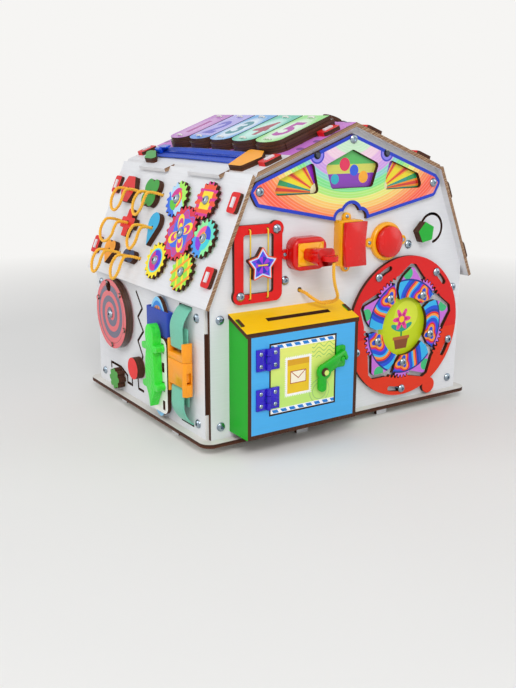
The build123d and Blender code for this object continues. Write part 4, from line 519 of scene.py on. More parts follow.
def set_out(name, shape, places, side, material, replaced=None):
    """Copies of a shape, made by Geometry Nodes on points that each look their own way."""
    dots = bpy.data.meshes.new(name + "_points")
    dots.from_pydata([place for place, way in places], [], [])
    ways = dots.attributes.new("way", "FLOAT_VECTOR", "POINT")
    for index, (place, way) in enumerate(places):
        ways.data[index].vector = way
    thing, source = placed(name + "_copies", dots), placed(name + "_shape", shape)
    tree = bpy.data.node_groups.new(name, "GeometryNodeTree")
    tree.interface.new_socket("Geometry", in_out="INPUT", socket_type="NodeSocketGeometry")
    size = tree.interface.new_socket("Size", in_out="INPUT", socket_type="NodeSocketFloat")
    tree.interface.new_socket("Geometry", in_out="OUTPUT", socket_type="NodeSocketGeometry")
    given = tree.nodes.new("NodeGroupInput").outputs
    way = add(tree, "GeometryNodeInputNamedAttribute", {"Name": "way"}, data_type="FLOAT_VECTOR")
    turn = add(tree, "FunctionNodeAlignRotationToVector", {"Vector": way}, axis="Z")
    sideways = {"Rotation": turn, "Vector": tuple(side)}
    turn = add(tree, "FunctionNodeAlignRotationToVector", sideways, axis="X", pivot_axis="Z")
    one = add(tree, "GeometryNodeObjectInfo", {"Object": source}, output="Geometry")
    scale = add(tree, "ShaderNodeCombineXYZ", (given["Size"],) * 3)
    copies = {"Points": given["Geometry"], "Instance": one, "Rotation": turn, "Scale": scale}
    made = add(tree, "GeometryNodeInstanceOnPoints", copies)
    made = add(tree, "GeometryNodeRealizeInstances", {"Geometry": made})
    made = add(tree, "GeometryNodeSetMaterial", {"Geometry": made, "Material": material})
    add(tree, "NodeGroupOutput", {"Geometry": made})
    nodes = thing.modifiers.new("copies", "NODES")
    nodes.node_group = tree
    nodes[size.identifier] = 1.0
    mesh = applied(thing)
    bpy.data.objects.remove(source)
    return settle(name, mesh, material, "house", smooth=False, replaced=replaced)


# ---- cords and the sorters that hang on them
CORD_DIAMETER = 3.5
ROPE = fibrous("twisted_polypropylene_cord", "ffce38", "f5a400")


def nurbs_line(points):
    """Points read from the smooth curve that a cord's route makes."""
    curve = bpy.data.curves.new("route", "CURVE")
    curve.dimensions = "3D"
    curve.resolution_u = 24
    spline = curve.splines.new("NURBS")
    spline.points.add(len(points) - 1)
    for point, place in zip(spline.points, points):
        point.co = (*place, 1.0)
    spline.order_u = 3
    spline.use_endpoint_u = True
    mesh = applied(placed("route", curve))
    line = [vert.co.copy() for vert in mesh.vertices]
    bpy.data.meshes.remove(mesh)
    return line


def even(line, step):
    """Points an even step apart on a line, and its length."""
    length = sum((b - a).length for a, b in zip(line, line[1:]))
    count = max(8, round(length / step))
    points, walked = [line[0].copy()], 0.0
    for a, b in zip(line, line[1:]):
        run = (b - a).length
        while run > 0 and len(points) < count and walked + run >= length * len(points) / count:
            points.append(a.lerp(b, (length * len(points) / count - walked) / run))
        walked += run
    return points + [line[-1].copy()], length


def free_cord(name, route, body, replaced):
    """Twisted cord that follows a route, in metres, and goes into the object at both ends."""
    points, length = even(nurbs_line(route), CORD_DIAMETER / 4 * MM)
    piece = settle(name, twist(name, points, CORD_DIAMETER / 2), ROPE, body, replaced=replaced)
    tuple(points[0])
    return piece


SORTERS = {  # paint, and the rope's ends at the shape and in the roof
    "red": ("dc1018", (-90.0, 32.6), (-69.0, 32.6)),
    "green": ("2f9e34", (-35.0, 32.6), (-17.0, 33.0)),
    "cross": ("e40c10", (-63.0, -4.4), (-91.0, -3.4)),
    "sky": ("2cb2e4", (-4.0, -3.9), (-21.0, -3.4)),
    "orange": ("ffa808", (-85.0, -39.0), (-69.0, -38.6)),
    "navy": ("12335e", (-35.0, -39.0), (-18.5, -38.0)),
}
ROPE_HEIGHT, ROPE_DROP = 17.5, 28.0


def loop_route(piece, hole):
    """A rope loop out of one hole of the roof, round below and into the other hole."""
    back, front = sorted((piece, hole))
    gap, rise = front[0] - back[0], front[1] - back[1]
    local = (
        (0, 0, -PLY - 2), (0, 0, ROPE_HEIGHT), (-3, -11, ROPE_HEIGHT + 2.5), (-4, -20, ROPE_HEIGHT + 1.5),
        (0.1 * gap - 1, -ROPE_DROP, ROPE_HEIGHT), (0.62 * gap - 1, -ROPE_DROP - 1, ROPE_HEIGHT + 0.5),
        (gap + 0.5, -ROPE_DROP + 8, ROPE_HEIGHT + 1.5), (gap + 1, -11 + rise, ROPE_HEIGHT + 2.5),
        (gap, rise, ROPE_HEIGHT), (gap, rise, -PLY - 2),
    )
    return [LOWER.point(back[0] + u, back[1] + v, h) for u, v, h in local]


for name, (paint, piece, hole) in SORTERS.items():
    loop = free_cord("rope_loop_" + name, loop_route(piece, hole), None, "tether_cords")
    start, end = (tuple(LOWER.point(u, v, 0)) for u, v in (hole, piece))
    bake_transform(loop)
    board("sorter_" + name, "painted_birch_ply_sorter_" + name, LOWER, paint, rough=0.38)
PLUG_ROUTE = (
    (-57, -180.0, 175.9), (-55.5, -177.3, 164), (-48, -171.3, 150), (-38, -164.3, 138), (-35, -153.3, 131.5),
    (-43, -144.3, 128.5), (-53, -140, 135), (-60, -137, 142), (-60, -110, 142),
)
free_cord("plug_rope", [Vector(point) * MM for point in PLUG_ROUTE], "toy_plug", "plug_cord")


# ---- printed boards
def away(u, v, across="u"):
    """Formula of the distance from a point, or, with abs(u) across, from the nearer of two."""
    return f"sqrt(({across} - {u}) ** 2 + (v - {v}) ** 2)"


def rim_distance():
    """Formula of the distance from a point of the gable board to its edge."""
    parts = []
    for (u0, v0), (u1, v1) in zip(GABLE_HALF, GABLE_HALF[1:]):
        length = hypot(u1 - u0, v1 - v0)
        parts.append(f"(abs(u) - {u0}) * {(v1 - v0) / length:.5f} + (v - {v0}) * {(u0 - u1) / length:.5f}")
    for u, v, radius in SCALLOPS:
        parts.append(f"{away(u, v, 'abs(u)')} - {radius}")
    text = parts[0]
    for part in parts[1:]:
        text = f"min({text}, {part})"
    return text


WALL_WHITE = "e6e7ea"
above_roof = " | ".join(
    f"((abs(u) - {abs(face.origin.x):.3f}) * {abs(face.out.x):.5f}"
    f" + (v - {face.origin.z:.3f}) * {face.out.z:.5f} > 0.6)"
    for face in (UPPER, LOWER)
)
pot_and_bloom = {"bloom": "sqrt(x * x + (y - 7) ** 2)", "turn": "atan2(y - 7, x) * 6", "inside": "r < 33.5"}
wall_coats = [("c9dc12", "inside")] + [(paint, "inside & " + where) for paint, where in (
    ("dcea3e", "(sqrt((x - 6) ** 2 + (y - 10) ** 2) < 17)"),
    ("2f9a44", "(abs(x) < 1.3) & (y < 4) & (y > -14)"),
    ("22a08c", "(((abs(x) - 7) / 8) ** 2 + ((y + 5 - abs(x) * 0.4) / 3.2) ** 2 < 1)"),
    ("f0489c", "(bloom < 9.5 + 3.4 * cos(turn))"), ("c82a7c", "(bloom < 6 + 2.2 * cos(turn))"),
    ("ffd21e", "(bloom < 3.6)"), ("8a4a26", "(y < -12) & (y > -26) & (abs(x) < 9.5 + (y + 19) * 0.22)"),
    ("b8672e", "(y < -12) & (y > -15.5) & (abs(x) < 12)"),
)]
board(
    "front_wall", "white_stained_birch_ply_front", FRONT, WALL_WHITE, wall_coats, IRIS_AT, pot_and_bloom,
    spare=above_roof,
)
board("back_wall", "white_stained_birch_ply_back", FRONT, WALL_WHITE, spare=above_roof)
board("side_walls", "white_stained_birch_ply_side", LEFT, WALL_WHITE)
board("base_plate", "white_stained_birch_ply_base", TOP, "dedbd4")
above_zip = "(abs(n) > 0.96) & (v > -19)"
pink_patches = [
    ("cc78d2", above_zip),
    ("8a5a9c", above_zip + " & (sin(u * 0.21 + v * 0.3) + sin(v * 0.35 - u * 0.12) > 1.1)"),
]
board(
    "roof_panels", "white_stained_birch_ply_roof", UPPER, WALL_WHITE, pink_patches, flats=SLOPES,
    wood=("d9bd9c", "7a5236"),
)
board("roof_lock_plates", "red_painted_birch_ply_plates", UPPER, "dc0e12", flats=SLOPES)
dress("corner_brackets", moulded("white_moulded_abs", "e8e8e4"))

rainbow = (
    (20, "f6d4e4"), (29, "e7b6e4"), (38, "d2a2e8"), (45, "8ed9cc"), (50, "86e890"), (57, "b6f07e"),
    (63, "f2ee80"), (69, "ffd070"), (75, "ffa860"), (80, "ff8450"), (86, "ff6648"), (96, "ff8474"),
    (104, "ffb2b0"),
)
gable_drawn = {"arc": away(0, 292, "u / 1.4"), "eye": away(44, 272, "abs(u)"), "rim": rim_distance()}
gable_coats = [(paint, f"arc > {reach}") for reach, paint in rainbow] + [
    ("ffffff", "(sin(arc * 2.4) > 0.55) * 0.16"), ("8f86ec", "eye < 8.5"), ("4a48c8", "abs(eye - 7.6) < 0.8"),
    ("14141e", "eye < 4.1"), ("2340c4", "(rim < 3.4) & (eye > 4.1)"),
]
board("gable_board", "printed_birch_ply_gable", FRONT, "cdeecb", gable_coats, drawn=gable_drawn, rough=0.36)
pane_drawn = {"turn": "atan2(v - 236, abs(u) - 40)", "outer": "abs(u) > 36", "middle": "abs(u) < 36"}
pane_coats = [
    ("2aa05a", "abs(u) > 76"), ("f6e21e", "outer & (turn > 0.3)"),
    ("ff9a1e", "outer & (sin(turn * 15) > 0.35)"), ("e23a2a", "outer & (sin(turn * 15) > 0.85)"),
    ("9a2ac8", "outer & (turn > 1.05)"), ("fff6c0", f"outer & ({away(42, 238, 'abs(u)')} < 7)"),
    ("58c060", "middle"), ("d8d860", "middle & (v < 262)"), ("8a3ab8", "middle & (v < 253)"),
    ("e82a5a", away(-7, 262) + " < 6.5"), ("2a5ae0", away(5, 256) + " < 5.5"),
    ("ffb02a", away(17, 249) + " < 6"), ("28b4c8", away(-19, 248) + " < 5"), ("1d6b3c", "h < -9"),
    ("3a4250", "abs(abs(u) - 44) + abs(v - 272) < 5"),
]
board(
    "window_lights", "printed_acrylic_panes", FRONT, "1f9a8a", pane_coats, drawn=pane_drawn, burnt=False,
    rough=0.16, coat=0.6,
)
board("star_frame", "red_painted_birch_ply_frame", FRONT, "e20c0c", rough=0.36)
part = 2 * pi / 5
star_drawn = {  # f is the angle from the nearest point of the star
    "f": f"((a + {part / 2 - pi / 2:.5f}) % {part:.5f}) - {part / 2:.5f}",
    "rim": "(18 - r * cos(f) - r * abs(sin(f)) * 1.54) * 0.545",
}
star_coats = [
    ("2d5ce6", "f > 0"), ("2136c0", "(f < 0) & (r < 8)"), ("a63ae0", "(f > 0) & (r < 8)"),
    ("cfe4ff", "rim < 2.4"), ("f4562a", "rim < 1.1"),
]
board("star_bead", "printed_birch_ply_star", FRONT, "7a3ae0", star_coats, STAR_AT, star_drawn, rough=0.35)

board("mailbox_sides", "green_painted_birch_ply_sides", RIGHT, "0cab18")
board("mailbox_lid", "yellow_painted_birch_ply_lid", LID, "ffcc02")
frame_drawn = {"gap": "max(max(-117 - u, u + 39), max(31 - v, v - 101))"}
door_drawn = {
    "gap": "min(min(u + 117, -39 - u), min(v - 31, 101 - v))",
    "sx": "abs(u + 84)", "sy": "v - 66", "mark": away(-58, 46), "far": "abs(v - 66)",
    "letter": "max(sx - 9.5, abs(sy + 1) - 6.4)",
}
door_coats = [
    ("f0f27a", "(v - 66) * 0.02 + 0.35"),
    ("9ed06c", "((v - 88 - 2 * sin(u * 0.5)) % 4.2 < 1) & (u > -68) & (v > 80) & (v < 95)"),
    ("9ecb7c", "(abs(mark - 12) < 0.4) | (abs(mark - 8.4) < 0.4)"), ("ffffff", "far > 29.5"),
    ("1f82d6", "(far > 30.3) & (far < 33.6) & ((u + v * 0.7 + 300) % 10 < 6.4)"),
    ("fdfdfa", "(sx < 15.5 + 0.7 * sin(v * 3)) & (abs(sy) < 19.5 + 0.7 * sin(u * 3))"),
    ("f2ca22", "(sx < 13) & (abs(sy) < 17)"), ("e2a81e", "(sx < 13) & (abs(sy) < 17) & (sy > 11)"),
    ("fff6dc", "letter < 0"),
    ("b5542a", "(abs(letter + 0.4) < 0.4) | ((letter < 0) & (abs(sy + 2.4 - sx * 0.85) < 0.55))"),
]
# dark brown band painted 0.9 mm wide on both sides of the door's gap: burnt cut edges with painted shade in
# the gap
shaded_gap_coat = [("2c1c14", "gap < 0.9")]
board("mailbox_front", "sky_painted_birch_ply_front", FRONT, "4ab2f0", shaded_gap_coat, drawn=frame_drawn)
board(
    "mailbox_door", "printed_birch_ply_door", FRONT, "c6ee78", door_coats + shaded_gap_coat, drawn=door_drawn,
    rough=0.36, tone=0.03,
)

board("iris_ring", "red_painted_birch_ply_ring", FRONT, "e01010", [("e83208", "v < 80")], rough=0.36)
PETAL_BANDS = (
    ("ff9c40", 5.5), ("e8261e", 8.5), ("8a2ad0", 10.5), ("1b52dc", 11.8), ("35b8f0", 16), ("ff9c40", 18.4),
    ("e8261e", 21), ("1b3fb0", 23), ("1b52dc", 26), ("35b8f0", 30),
)
for number in range(5):
    turn = radians(IRIS_PHASE + 72 * number)
    pivot = (IRIS_AT[0] + IRIS_PIVOT_R * cos(turn), IRIS_AT[1] + IRIS_PIVOT_R * sin(turn))
    tip = (IRIS_AT[0] + IRIS_TIP_R * cos(turn + pi / 5), IRIS_AT[1] + IRIS_TIP_R * sin(turn + pi / 5))
    petal_drawn = {"far": away(*IRIS_AT), "tip": away(*tip), "bands": "r + 2.4 * sin(a * 3 + 1)"}
    petal_coats = [(paint, f"bands > {reach}") for paint, reach in PETAL_BANDS]
    petal_coats += [("cf72dc", "far > 52"), ("3fc07a", "tip < 6.5"), ("20308c", "abs(far - 51.2) < 0.9")]
    name = f"printed_birch_ply_petal_{number + 1}"
    board(f"iris_petal_{number + 1}", name, FRONT, "1b52dc", petal_coats, pivot, petal_drawn, rough=0.35)
board("pentagon_knob", "green_painted_birch_ply_pentagon", FRONT, "18b032", rough=0.34)

board("zigzag_knob", "red_painted_birch_ply_knob", LEFT, "ee1616", rough=0.34)
board("star_knob", "green_painted_birch_ply_knob", LEFT, "3f9e30", rough=0.34)
MAZE_START = 1.74533  # radians
spiral = f"{MAZE_INNER} - {MAZE_PITCH} * (a - {MAZE_START}) / {2 * pi:.5f} + {9.5 * MAZE_PITCH}"
maze_drawn = {"off": f"abs((r - {spiral}) % {MAZE_PITCH} - {MAZE_PITCH / 2})"}
maze_coats = [("57506f", "(off < 3.6) & (r < 32.5) & (r > 4.5)"), ("b8323c", "abs(r - 33) < 0.5")]
board(
    "maze_disc", "lacquered_birch_ply_maze", LEFT, "e8525c", maze_coats, MAZE_AT, maze_drawn, rough=0.2,
    coat=0.8,
)
oval_drawn = {
    "o": f"sqrt((x / {OVAL_SIZE[0] / 2}) ** 2 + (y / {OVAL_SIZE[1] / 2}) ** 2)",
    "fan": "sin(atan2(y - 40, x) * 13)",
}
oval_coats = [
    ("27a58e", "sin(u * 0.9) > 0.2"), ("b8c83c", "sin(u * 0.9 + 2) > 0.5"),
    ("d8342a", "sin(u * 0.9 + 4) > 0.72"), ("e8863a", "y > 38"), ("23908a", "(y > 38) & (fan > 0)"),
    ("c8483a", "(y > 38) & (fan > 0.75)"), ("7e2896", "y < -50"),
    ("b84ac0", "(y < -50) & (abs(sqrt(x * x + (y + 48) ** 2) - 6) < 1)"), ("1f86e0", "(o > 0.86) & (y > 20)"),
    ("86ccf4", "o > 0.935"), ("f4f2ee", "h > 7.4"),
]
board(
    "left_wall_boards", "printed_birch_ply_oval", LEFT, "e8b23c", oval_coats, OVAL_AT, oval_drawn, rough=0.36
)

GEAR_PRINTS = {
    "gear_large": ("de1f42", [
        ("3b6ae6", "r < 22 + 2.6 * cos(a * 8)"),
        ("c83a96", "(r < 21 + 2.6 * cos(a * 8)) & (r > 17 - 2 * cos(a * 4))"),
        ("3b6ae6", "r < 16 - 2.5 * cos(a * 4)"), ("ffe22a", "r < 21 * leaf"),
        ("d8288e", "(r < 16.5 * leaf) & (leaf > 0.45)"), ("ffe22a", "(r < 11 * leaf) & (leaf > 0.7)"),
        ("3b6ae6", "r < 6.5"),
    ]),
    "gear_small_1": ("62e2cc", [
        ("8ff0a0", "(x * y < 0) & (r > 12)"), ("3f9af0", "(y < 0) & (r > 12) & (x < 4)"),
        ("8a26d8", "(x < 0) & (r < 12.5)"), ("3348e0", "(x > 0) & (y > 0) & (r < 12.5)"),
        ("ff5a9a", "(x < 0) & (y > 0) & (r < 12.5) & (r > 7)"), ("35d0e0", "(x > 0) & (y < 0) & (r < 12.5)"),
        ("ff9a2a", "(r < 7) & (x < 0) & (y > 0)"), ("ffe02a", "r < 5.2"),
    ]),
    "gear_small_2": ("f2502c", [
        ("da2490", "y % 8 < 3"), ("ffe12a", "max(abs(x), abs(y)) < 9"),
        ("da2490", "(max(abs(x), abs(y)) < 9) & (abs(y) < 2.4)"), ("ffe12a", "max(abs(x), abs(y)) < 6.4"),
    ]),
    "gear_small_3": ("b4dcf8", [
        ("2a6ce4", "x + y < -11"), ("a6ee58", "x + y > 11"), ("d6268e", "(y > 1) & (r < 12) & (x < 5)"),
        ("ff4a4a", "(r < 10) & (x > 1)"), ("ffe12a", "(r < 7.5) & (x > 1)"),
        ("58c83a", "(r < 12) & (y < -2) & (x < 3)"), ("2a6ce4", "r < 5.2"),
    ]),
    "gear_small_4": ("ffe81e", [
        ("58d8e8", "abs(r - 12) < 0.9"), ("d81a86", "r < 11.2"), ("4a30e0", "(r < 11.2) & (x + y * 0.5 > 0)"),
        ("ff7aa8", "r < 5.2"),
    ]),
    "gear_small_5": ("9aea3c", [
        ("ffe12a", "sin(x * 0.55 + y * 0.3) > 0.45"), ("ff9a22", "(sin(x * 0.4 - y * 0.5) > 0.62) & (r > 5)"),
        ("38b44a", "r < 5.4"),
    ]),
}
for gear, (paint, coats) in GEAR_PRINTS.items():
    centre = GEAR_AT
    if gear != "gear_large":
        turn = radians(PINION_DIRECTIONS[int(gear[-1]) - 1])
        centre = (GEAR_AT[0] + GEAR_DISTANCE * cos(turn), GEAR_AT[1] + GEAR_DISTANCE * sin(turn))
    leaf = {"leaf": "abs(sin(a * 2 + 0.6))"}
    board(gear, "printed_birch_ply_" + gear, LOWER, paint, coats, centre, leaf, rough=0.36)

bar_ends = [BARS_AT[0] + (index - BAR_COUNT / 2) * BAR_PITCH for index in range(BAR_COUNT)]
bar_centres = [end + BAR_PITCH / 2 for end in bar_ends]
bar_drawn = {
    "x": f"(u - {bar_ends[0]}) % {BAR_PITCH} - {BAR_PITCH / 2}", "y": f"v - {BARS_AT[1]}",
    "glow": "1 - min(1, (x / 19) ** 2 * 0.75 + ((y + 2) / 36) ** 2)",
}
bar_coats = [(paint, where.format(*bar_ends)) for paint, where in (
    ("4a8ee6", "u > {1}"), ("38a0e4", "u > {2}"), ("35c2a4", "u > {3}"), ("86e070", "u > {4}"),
    ("f0c4ee", "glow * 0.55 * (u < {1})"), ("b8a8ee", "(y > -24) * (u > {1}) * (u < {2}) * 0.85"),
    ("dcecfa", "min(1, glow * 1.5) * (u > {2}) * (u < {3})"),
    ("c4f2e8", "min(1, glow * 1.4) * (u > {3}) * (u < {4})"), ("e4f8e4", "min(1, glow * 1.3) * (u > {4})"),
    # 32241c: dark brown discs at the bar ends stand for the elastic holes, burnt wood with painted shade
    #         inside
    ("32241c", "sqrt((abs(x) - 5.2) ** 2 + (abs(y) - 28) ** 2) < 1.3"), ("40241a", "h < 8.5"),
)]
board(
    "xylophone", "printed_birch_ply_bars", UPPER, "b662c6", bar_coats, drawn=bar_drawn, rough=0.34, coat=0.3
)
board("spinner", "slate_painted_birch_ply_spinner", UPPER_RIGHT, "2b4657")

# ---- moulded pieces with rounded edges
mouth = [("ffb40e", "(abs(x) < 15.2) & (abs(y) < 11.2) & (h > 10)")]
red_and_yellow = moulded("red_and_yellow_moulded_abs", "dc0c08", mouth, centre=SOCKET_AT)
softened("socket_housing", 1.6, red_and_yellow, "house")
softened("toy_plug", 1.4, moulded("red_moulded_abs_plug", "dc0c08"), "toy_plug")
softened("switch_box", 1.2, moulded("yellow_moulded_abs_box", "ffb80c"), "house")
softened("switch_rocker", 1.0, moulded("red_moulded_abs_rocker", "e20e0a"), "switch_rocker")
softened("bell_base", 1.0, moulded("yellow_moulded_abs_bell", "ffb40c"), "house")
softened("bell_button", 0.8, moulded("red_moulded_abs_bell", "e20e0a"), "bell_button")
violet_and_green = moulded("violet_and_green_moulded_abs", "2c16c4", [("0cb41e", "u > -60")])
softened("mailbox_fittings", 0.5, violet_and_green, "house")
softened("hinge_door_leaves", 0.5, moulded("violet_moulded_abs_hinge", "2c16c4"), "mailbox_door")
softened("latch_hook", 1.1, moulded("green_moulded_abs_latch", "0cb81c"), "latch_hook")
crocodile_green = moulded("bright_green_moulded_abs", "3de642", face=LEFT, rough=0.34, scales=3.2)
softened("crocodile", 2.2, crocodile_green, "crocodile", segments=3)
acetal = moulded("orange_moulded_acetal", "ffa010", face=LEFT, rough=0.3)
softened("buckle_socket", 1.2, acetal, "house")
softened("buckle_plug", 1.2, acetal, "buckle_plug")
enamel = moulded("blue_enamelled_zinc", "1452d8", face=UPPER, rough=0.2)
softened("zip_slider", 0.6, enamel, "zip_slider")


# ---- bolts
def screw_head(name, radius, height, corners=24):
    """Domed head with a six-sided socket, from millimetres, its seat at 0."""
    made = bmesh.new()
    profile = ((1.0, 0.0), (1.0, 0.16), (0.93, 0.42), (0.8, 0.66), (0.62, 0.87), (0.45, 0.97))
    turns = [2 * pi * k / corners for k in range(corners)]
    rings = [
        [(radius * share * cos(t), radius * share * sin(t), rise * height) for t in turns]
        for share, rise in profile
    ]
    for share, rise in ((0.38, 0.98), (0.36, 0.35)):
        reach = [radius * share * cos(pi / 6) / cos(t % (pi / 3) - pi / 6) for t in turns]
        rings.append([(r * cos(t), r * sin(t), rise * height) for r, t in zip(reach, turns)])
    bridge(made, [[made.verts.new(Vector(point) * MM) for point in ring] for ring in rings])
    return mesh_of(made, name)


def lay_cylinder(made, start, end, radius, corners):
    """Add a cylinder between two points to a bmesh."""
    run = end - start
    sizes = {"segments": corners, "radius1": radius * MM, "radius2": radius * MM, "depth": run.length}
    verts = bmesh.ops.create_cone(made, cap_ends=True, **sizes)["verts"]
    turn = run.to_track_quat("Z", "Y").to_matrix().to_4x4()
    bmesh.ops.transform(made, matrix=Matrix.Translation((start + end) / 2) @ turn, verts=verts)


steel = plated("zinc_plated_steel", "5f7486", "c2ced8")
HEAD_R, HEAD_H, SHANK_R, NUT_R, NUT_H = 4.6, 2.6, 1.9, 3.9, 3.0
SHOULDER_R, COLLAR_R, COLLAR_H = 2.55, 4.4, 1.1
LONGEST, SHOULDER_FROM = 16, 5  # mm that a bolt stands out at most, and from which it has a shoulder
heads, bodies = [], bmesh.new()
whole = merged("dome_bolts")
for group in islands(whole):
    found = []
    for face in (FRONT, LEFT, BACK, RIGHT, *SLOPES):
        spread = [vert.co.dot(face.out) for vert in group]
        flat = [vert.co - face.out * vert.co.dot(face.out) for vert in group]
        core = sum(flat, Vector()) / len(flat)
        reach = max(spread) / MM - face.origin.dot(face.out)
        width = max((point - core).length for point in flat) / MM
        found.append((not 0 < reach < LONGEST, width, face.out, core, min(spread), max(spread), reach))
    out, core, low, high, reach = min(found, key=lambda one: one[:2])[2:]
    seat = core + out * (high - HEAD_H * MM)
    heads.append((seat, out))
    lay_cylinder(bodies, core + out * (low + MM), seat, SHANK_R, 16)
    lay_cylinder(bodies, core + out * low, core + out * (low + NUT_H * MM), NUT_R, 6)
    if reach - HEAD_H > SHOULDER_FROM:
        wall = core + out * (high - reach * MM)
        lay_cylinder(bodies, wall, wall + out * COLLAR_H * MM, COLLAR_R, 20)
        lay_cylinder(bodies, wall, seat, SHOULDER_R, 16)
whole.free()
head = screw_head("dome_head", HEAD_R, HEAD_H)
set_out("dome_bolt_heads", head, heads, (0.3, 0.2, 0.9), steel, "dome_bolts")
settle("dome_bolt_shanks", mesh_of(bodies, "dome_bolt_shanks"), steel, "house", False, "dome_bolts")
EAR_SCREWS = ((SOCKET_AT, 23, 0), (SWITCH_AT, 0, 26), (BELL_AT, 23, 0))  # centre, way across and way up
LEAF_U, LEAF_Z = 8, 6  # of the hinge screws, from pin and middle
SMALL_R, SMALL_H = 2.1, 1.1
small = [
    (FRONT.point(u + side * across, v + side * along, EAR_TOP), FRONT.out)
    for (u, v), across, along in EAR_SCREWS for side in (-1, 1)
]
wall_leaves, door_leaves = (
    [(FRONT.point(HINGE_X + u, z + v, LEAF_TOP), FRONT.out) for z in HINGE_ZS for v in (-LEAF_Z, LEAF_Z)]
    for u in (-LEAF_U, LEAF_U)
)
small_head = screw_head("small_head", SMALL_R, SMALL_H, 18)
set_out("small_screw_heads", small_head, small + wall_leaves, (1, 0, 0), steel)
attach(set_out("door_screw_heads", small_head, door_leaves, (1, 0, 0), steel), "mailbox_door")

# ---- numbers on the bars
DIGIT_PAINTS = ("a83a98", "5550c6", "2a8a98", "a8304e", "b42ea6")
DIGIT_SIZE, DIGIT_WEIGHT, DIGIT_DEPTH = 46.0, 1.1, 0.06
for index, (paint, centre) in enumerate(zip(DIGIT_PAINTS, bar_centres)):
    letter = bpy.data.curves.new("number", "FONT")
    letter.body = str(index + 1)
    letter.size, letter.offset, letter.extrude = DIGIT_SIZE, DIGIT_WEIGHT, DIGIT_DEPTH
    mesh = applied(placed("number", letter))
    middle = [(min(v.co[k] for v in mesh.vertices) + max(v.co[k] for v in mesh.vertices)) / 2 for k in (0, 1)]
    mesh.transform(Matrix.Translation((-middle[0], -middle[1], 0)))
    mesh.transform(UPPER.matrix(centre, BARS_AT[1] - 1, BARS_TOP + 0.08))
    ink = ply(f"printed_ink_number_{index + 1}", UPPER, paint, burnt=False, rough=0.34, tone=0.1)
    settle(f"bar_number_{index + 1}", mesh, ink, "house", smooth=False)

# ---- elastics
yellow_elastic = fibrous("yellow_elastic_thread", "ffe440", "e8b820")
white_elastic = fibrous("white_elastic_thread", "f6f4ee", "cfccc4")
STRAND_R, STITCH_R, STITCH_V = 0.8, 1.0, 28.0


def thread(name, points, bend, radius, material, body="house", replaced="elastics"):
    """Plain elastic thread on a line with rounded bends."""
    mesh = twist(name, rounded(points, bend), radius, count=1)
    settle(name, mesh, material, body, replaced=replaced)


for side, word in ((-1, "left"), (1, "right")):
    u, h = STAR_AT[0] + side * STRAND_X, PLY + SOFT_GAP + STRAND_R
    ends = ((-STRAND_Z, 0.2), (-STRAND_Z, h), (STRAND_Z, h), (STRAND_Z, 0.2))
    line = [FRONT.point(u, STAR_AT[1] + z, h) for z, h in ends]
    thread("star_strand_" + word, line, 2.0, STRAND_R, yellow_elastic)
hoop = ((-5, STAR_TOP - 0.5), (-5, STAR_TOP + 0.8), (5, STAR_TOP + 0.8), (5, STAR_TOP - 0.5))
line = [FRONT.point(STAR_AT[0] + x, STAR_AT[1], h) for x, h in hoop]
thread("star_stitch", line, 1.2, STRAND_R, yellow_elastic, "star_bead", None)
hoop = ((-4.6, BARS_TOP - 1), (-4.4, BARS_TOP + 1.2), (4.4, BARS_TOP + 1.2), (4.6, BARS_TOP - 1))
for index, centre in enumerate(bar_centres):
    for side, word in ((-1, "low"), (1, "high")):
        line = [UPPER.point(centre + x, BARS_AT[1] + side * STITCH_V, h) for x, h in hoop]
        thread(f"bar_stitch_{index + 1}_{word}", line, 1.5, STITCH_R, white_elastic)
near = abs(BAND_Z[0] - OVAL_AT[1])
half = OVAL_SIZE[0] / 2 * (1 - (near / (OVAL_SIZE[1] / 2)) ** 2) ** 0.5 + SOFT_GAP + 0.6
BAND_LOW, BAND_HIGH, BAND_THICKNESS = 2.1, 7.9, 1.2
bends = ((half, BAND_LOW), (half, BAND_HIGH), (-half, BAND_HIGH), (-half, BAND_LOW))
corners = [LEFT.point(OVAL_AT[0] + x, sum(BAND_Z) / 2, h) for x, h in bends]
loop = []
for index, here in enumerate(corners):
    loop += rounded((corners[index - 1], here, corners[(index + 1) % 4]), 2.0)[1:-1]
blue_elastic = woven("royal_blue_woven_elastic", "1848c4", "0c2c8c", LEFT)
sizes = (BAND_Z[1] - BAND_Z[0], BAND_THICKNESS)
ribbon("elastic_band", loop, (0, 0, 1), *sizes, blue_elastic, "elastic", "elastics", closed=True)

# ---- straps
mint = woven("mint_polyester_webbing", "86d8bc", "5cae94", LEFT)
clear = BAR_R + SOFT_GAP + STRAP_THICKNESS / 2
for word, slot_z, bar_z in zip(("lower", "upper"), STRAP_SLOTS, BUCKLE_BARS):
    way = 1 if bar_z > slot_z else -1
    end = bar_z + way * clear
    line = rounded([LEFT.point(STRAP_U, z, h) for h, z in (
        (-PLY - 6, slot_z), (1.2, slot_z), (BAR_H + clear + 1.2, slot_z + way * 15), (BAR_H + clear, end),
        (BAR_H - clear, end), (BAR_H - clear, slot_z + way * 20),
    )], 8.0, 8)
    sizes = (STRAP_WIDTH, STRAP_THICKNESS)
    strap = ribbon("strap_band_" + word, line, (0, 1, 0), *sizes, mint, "webbing", "strap_" + word)
    if word == "upper":
        anchor, keep = tuple(LEFT.point(STRAP_U, slot_z)), 1 - BUCKLE_TRAVEL / (slot_z - end)
        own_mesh(strap)

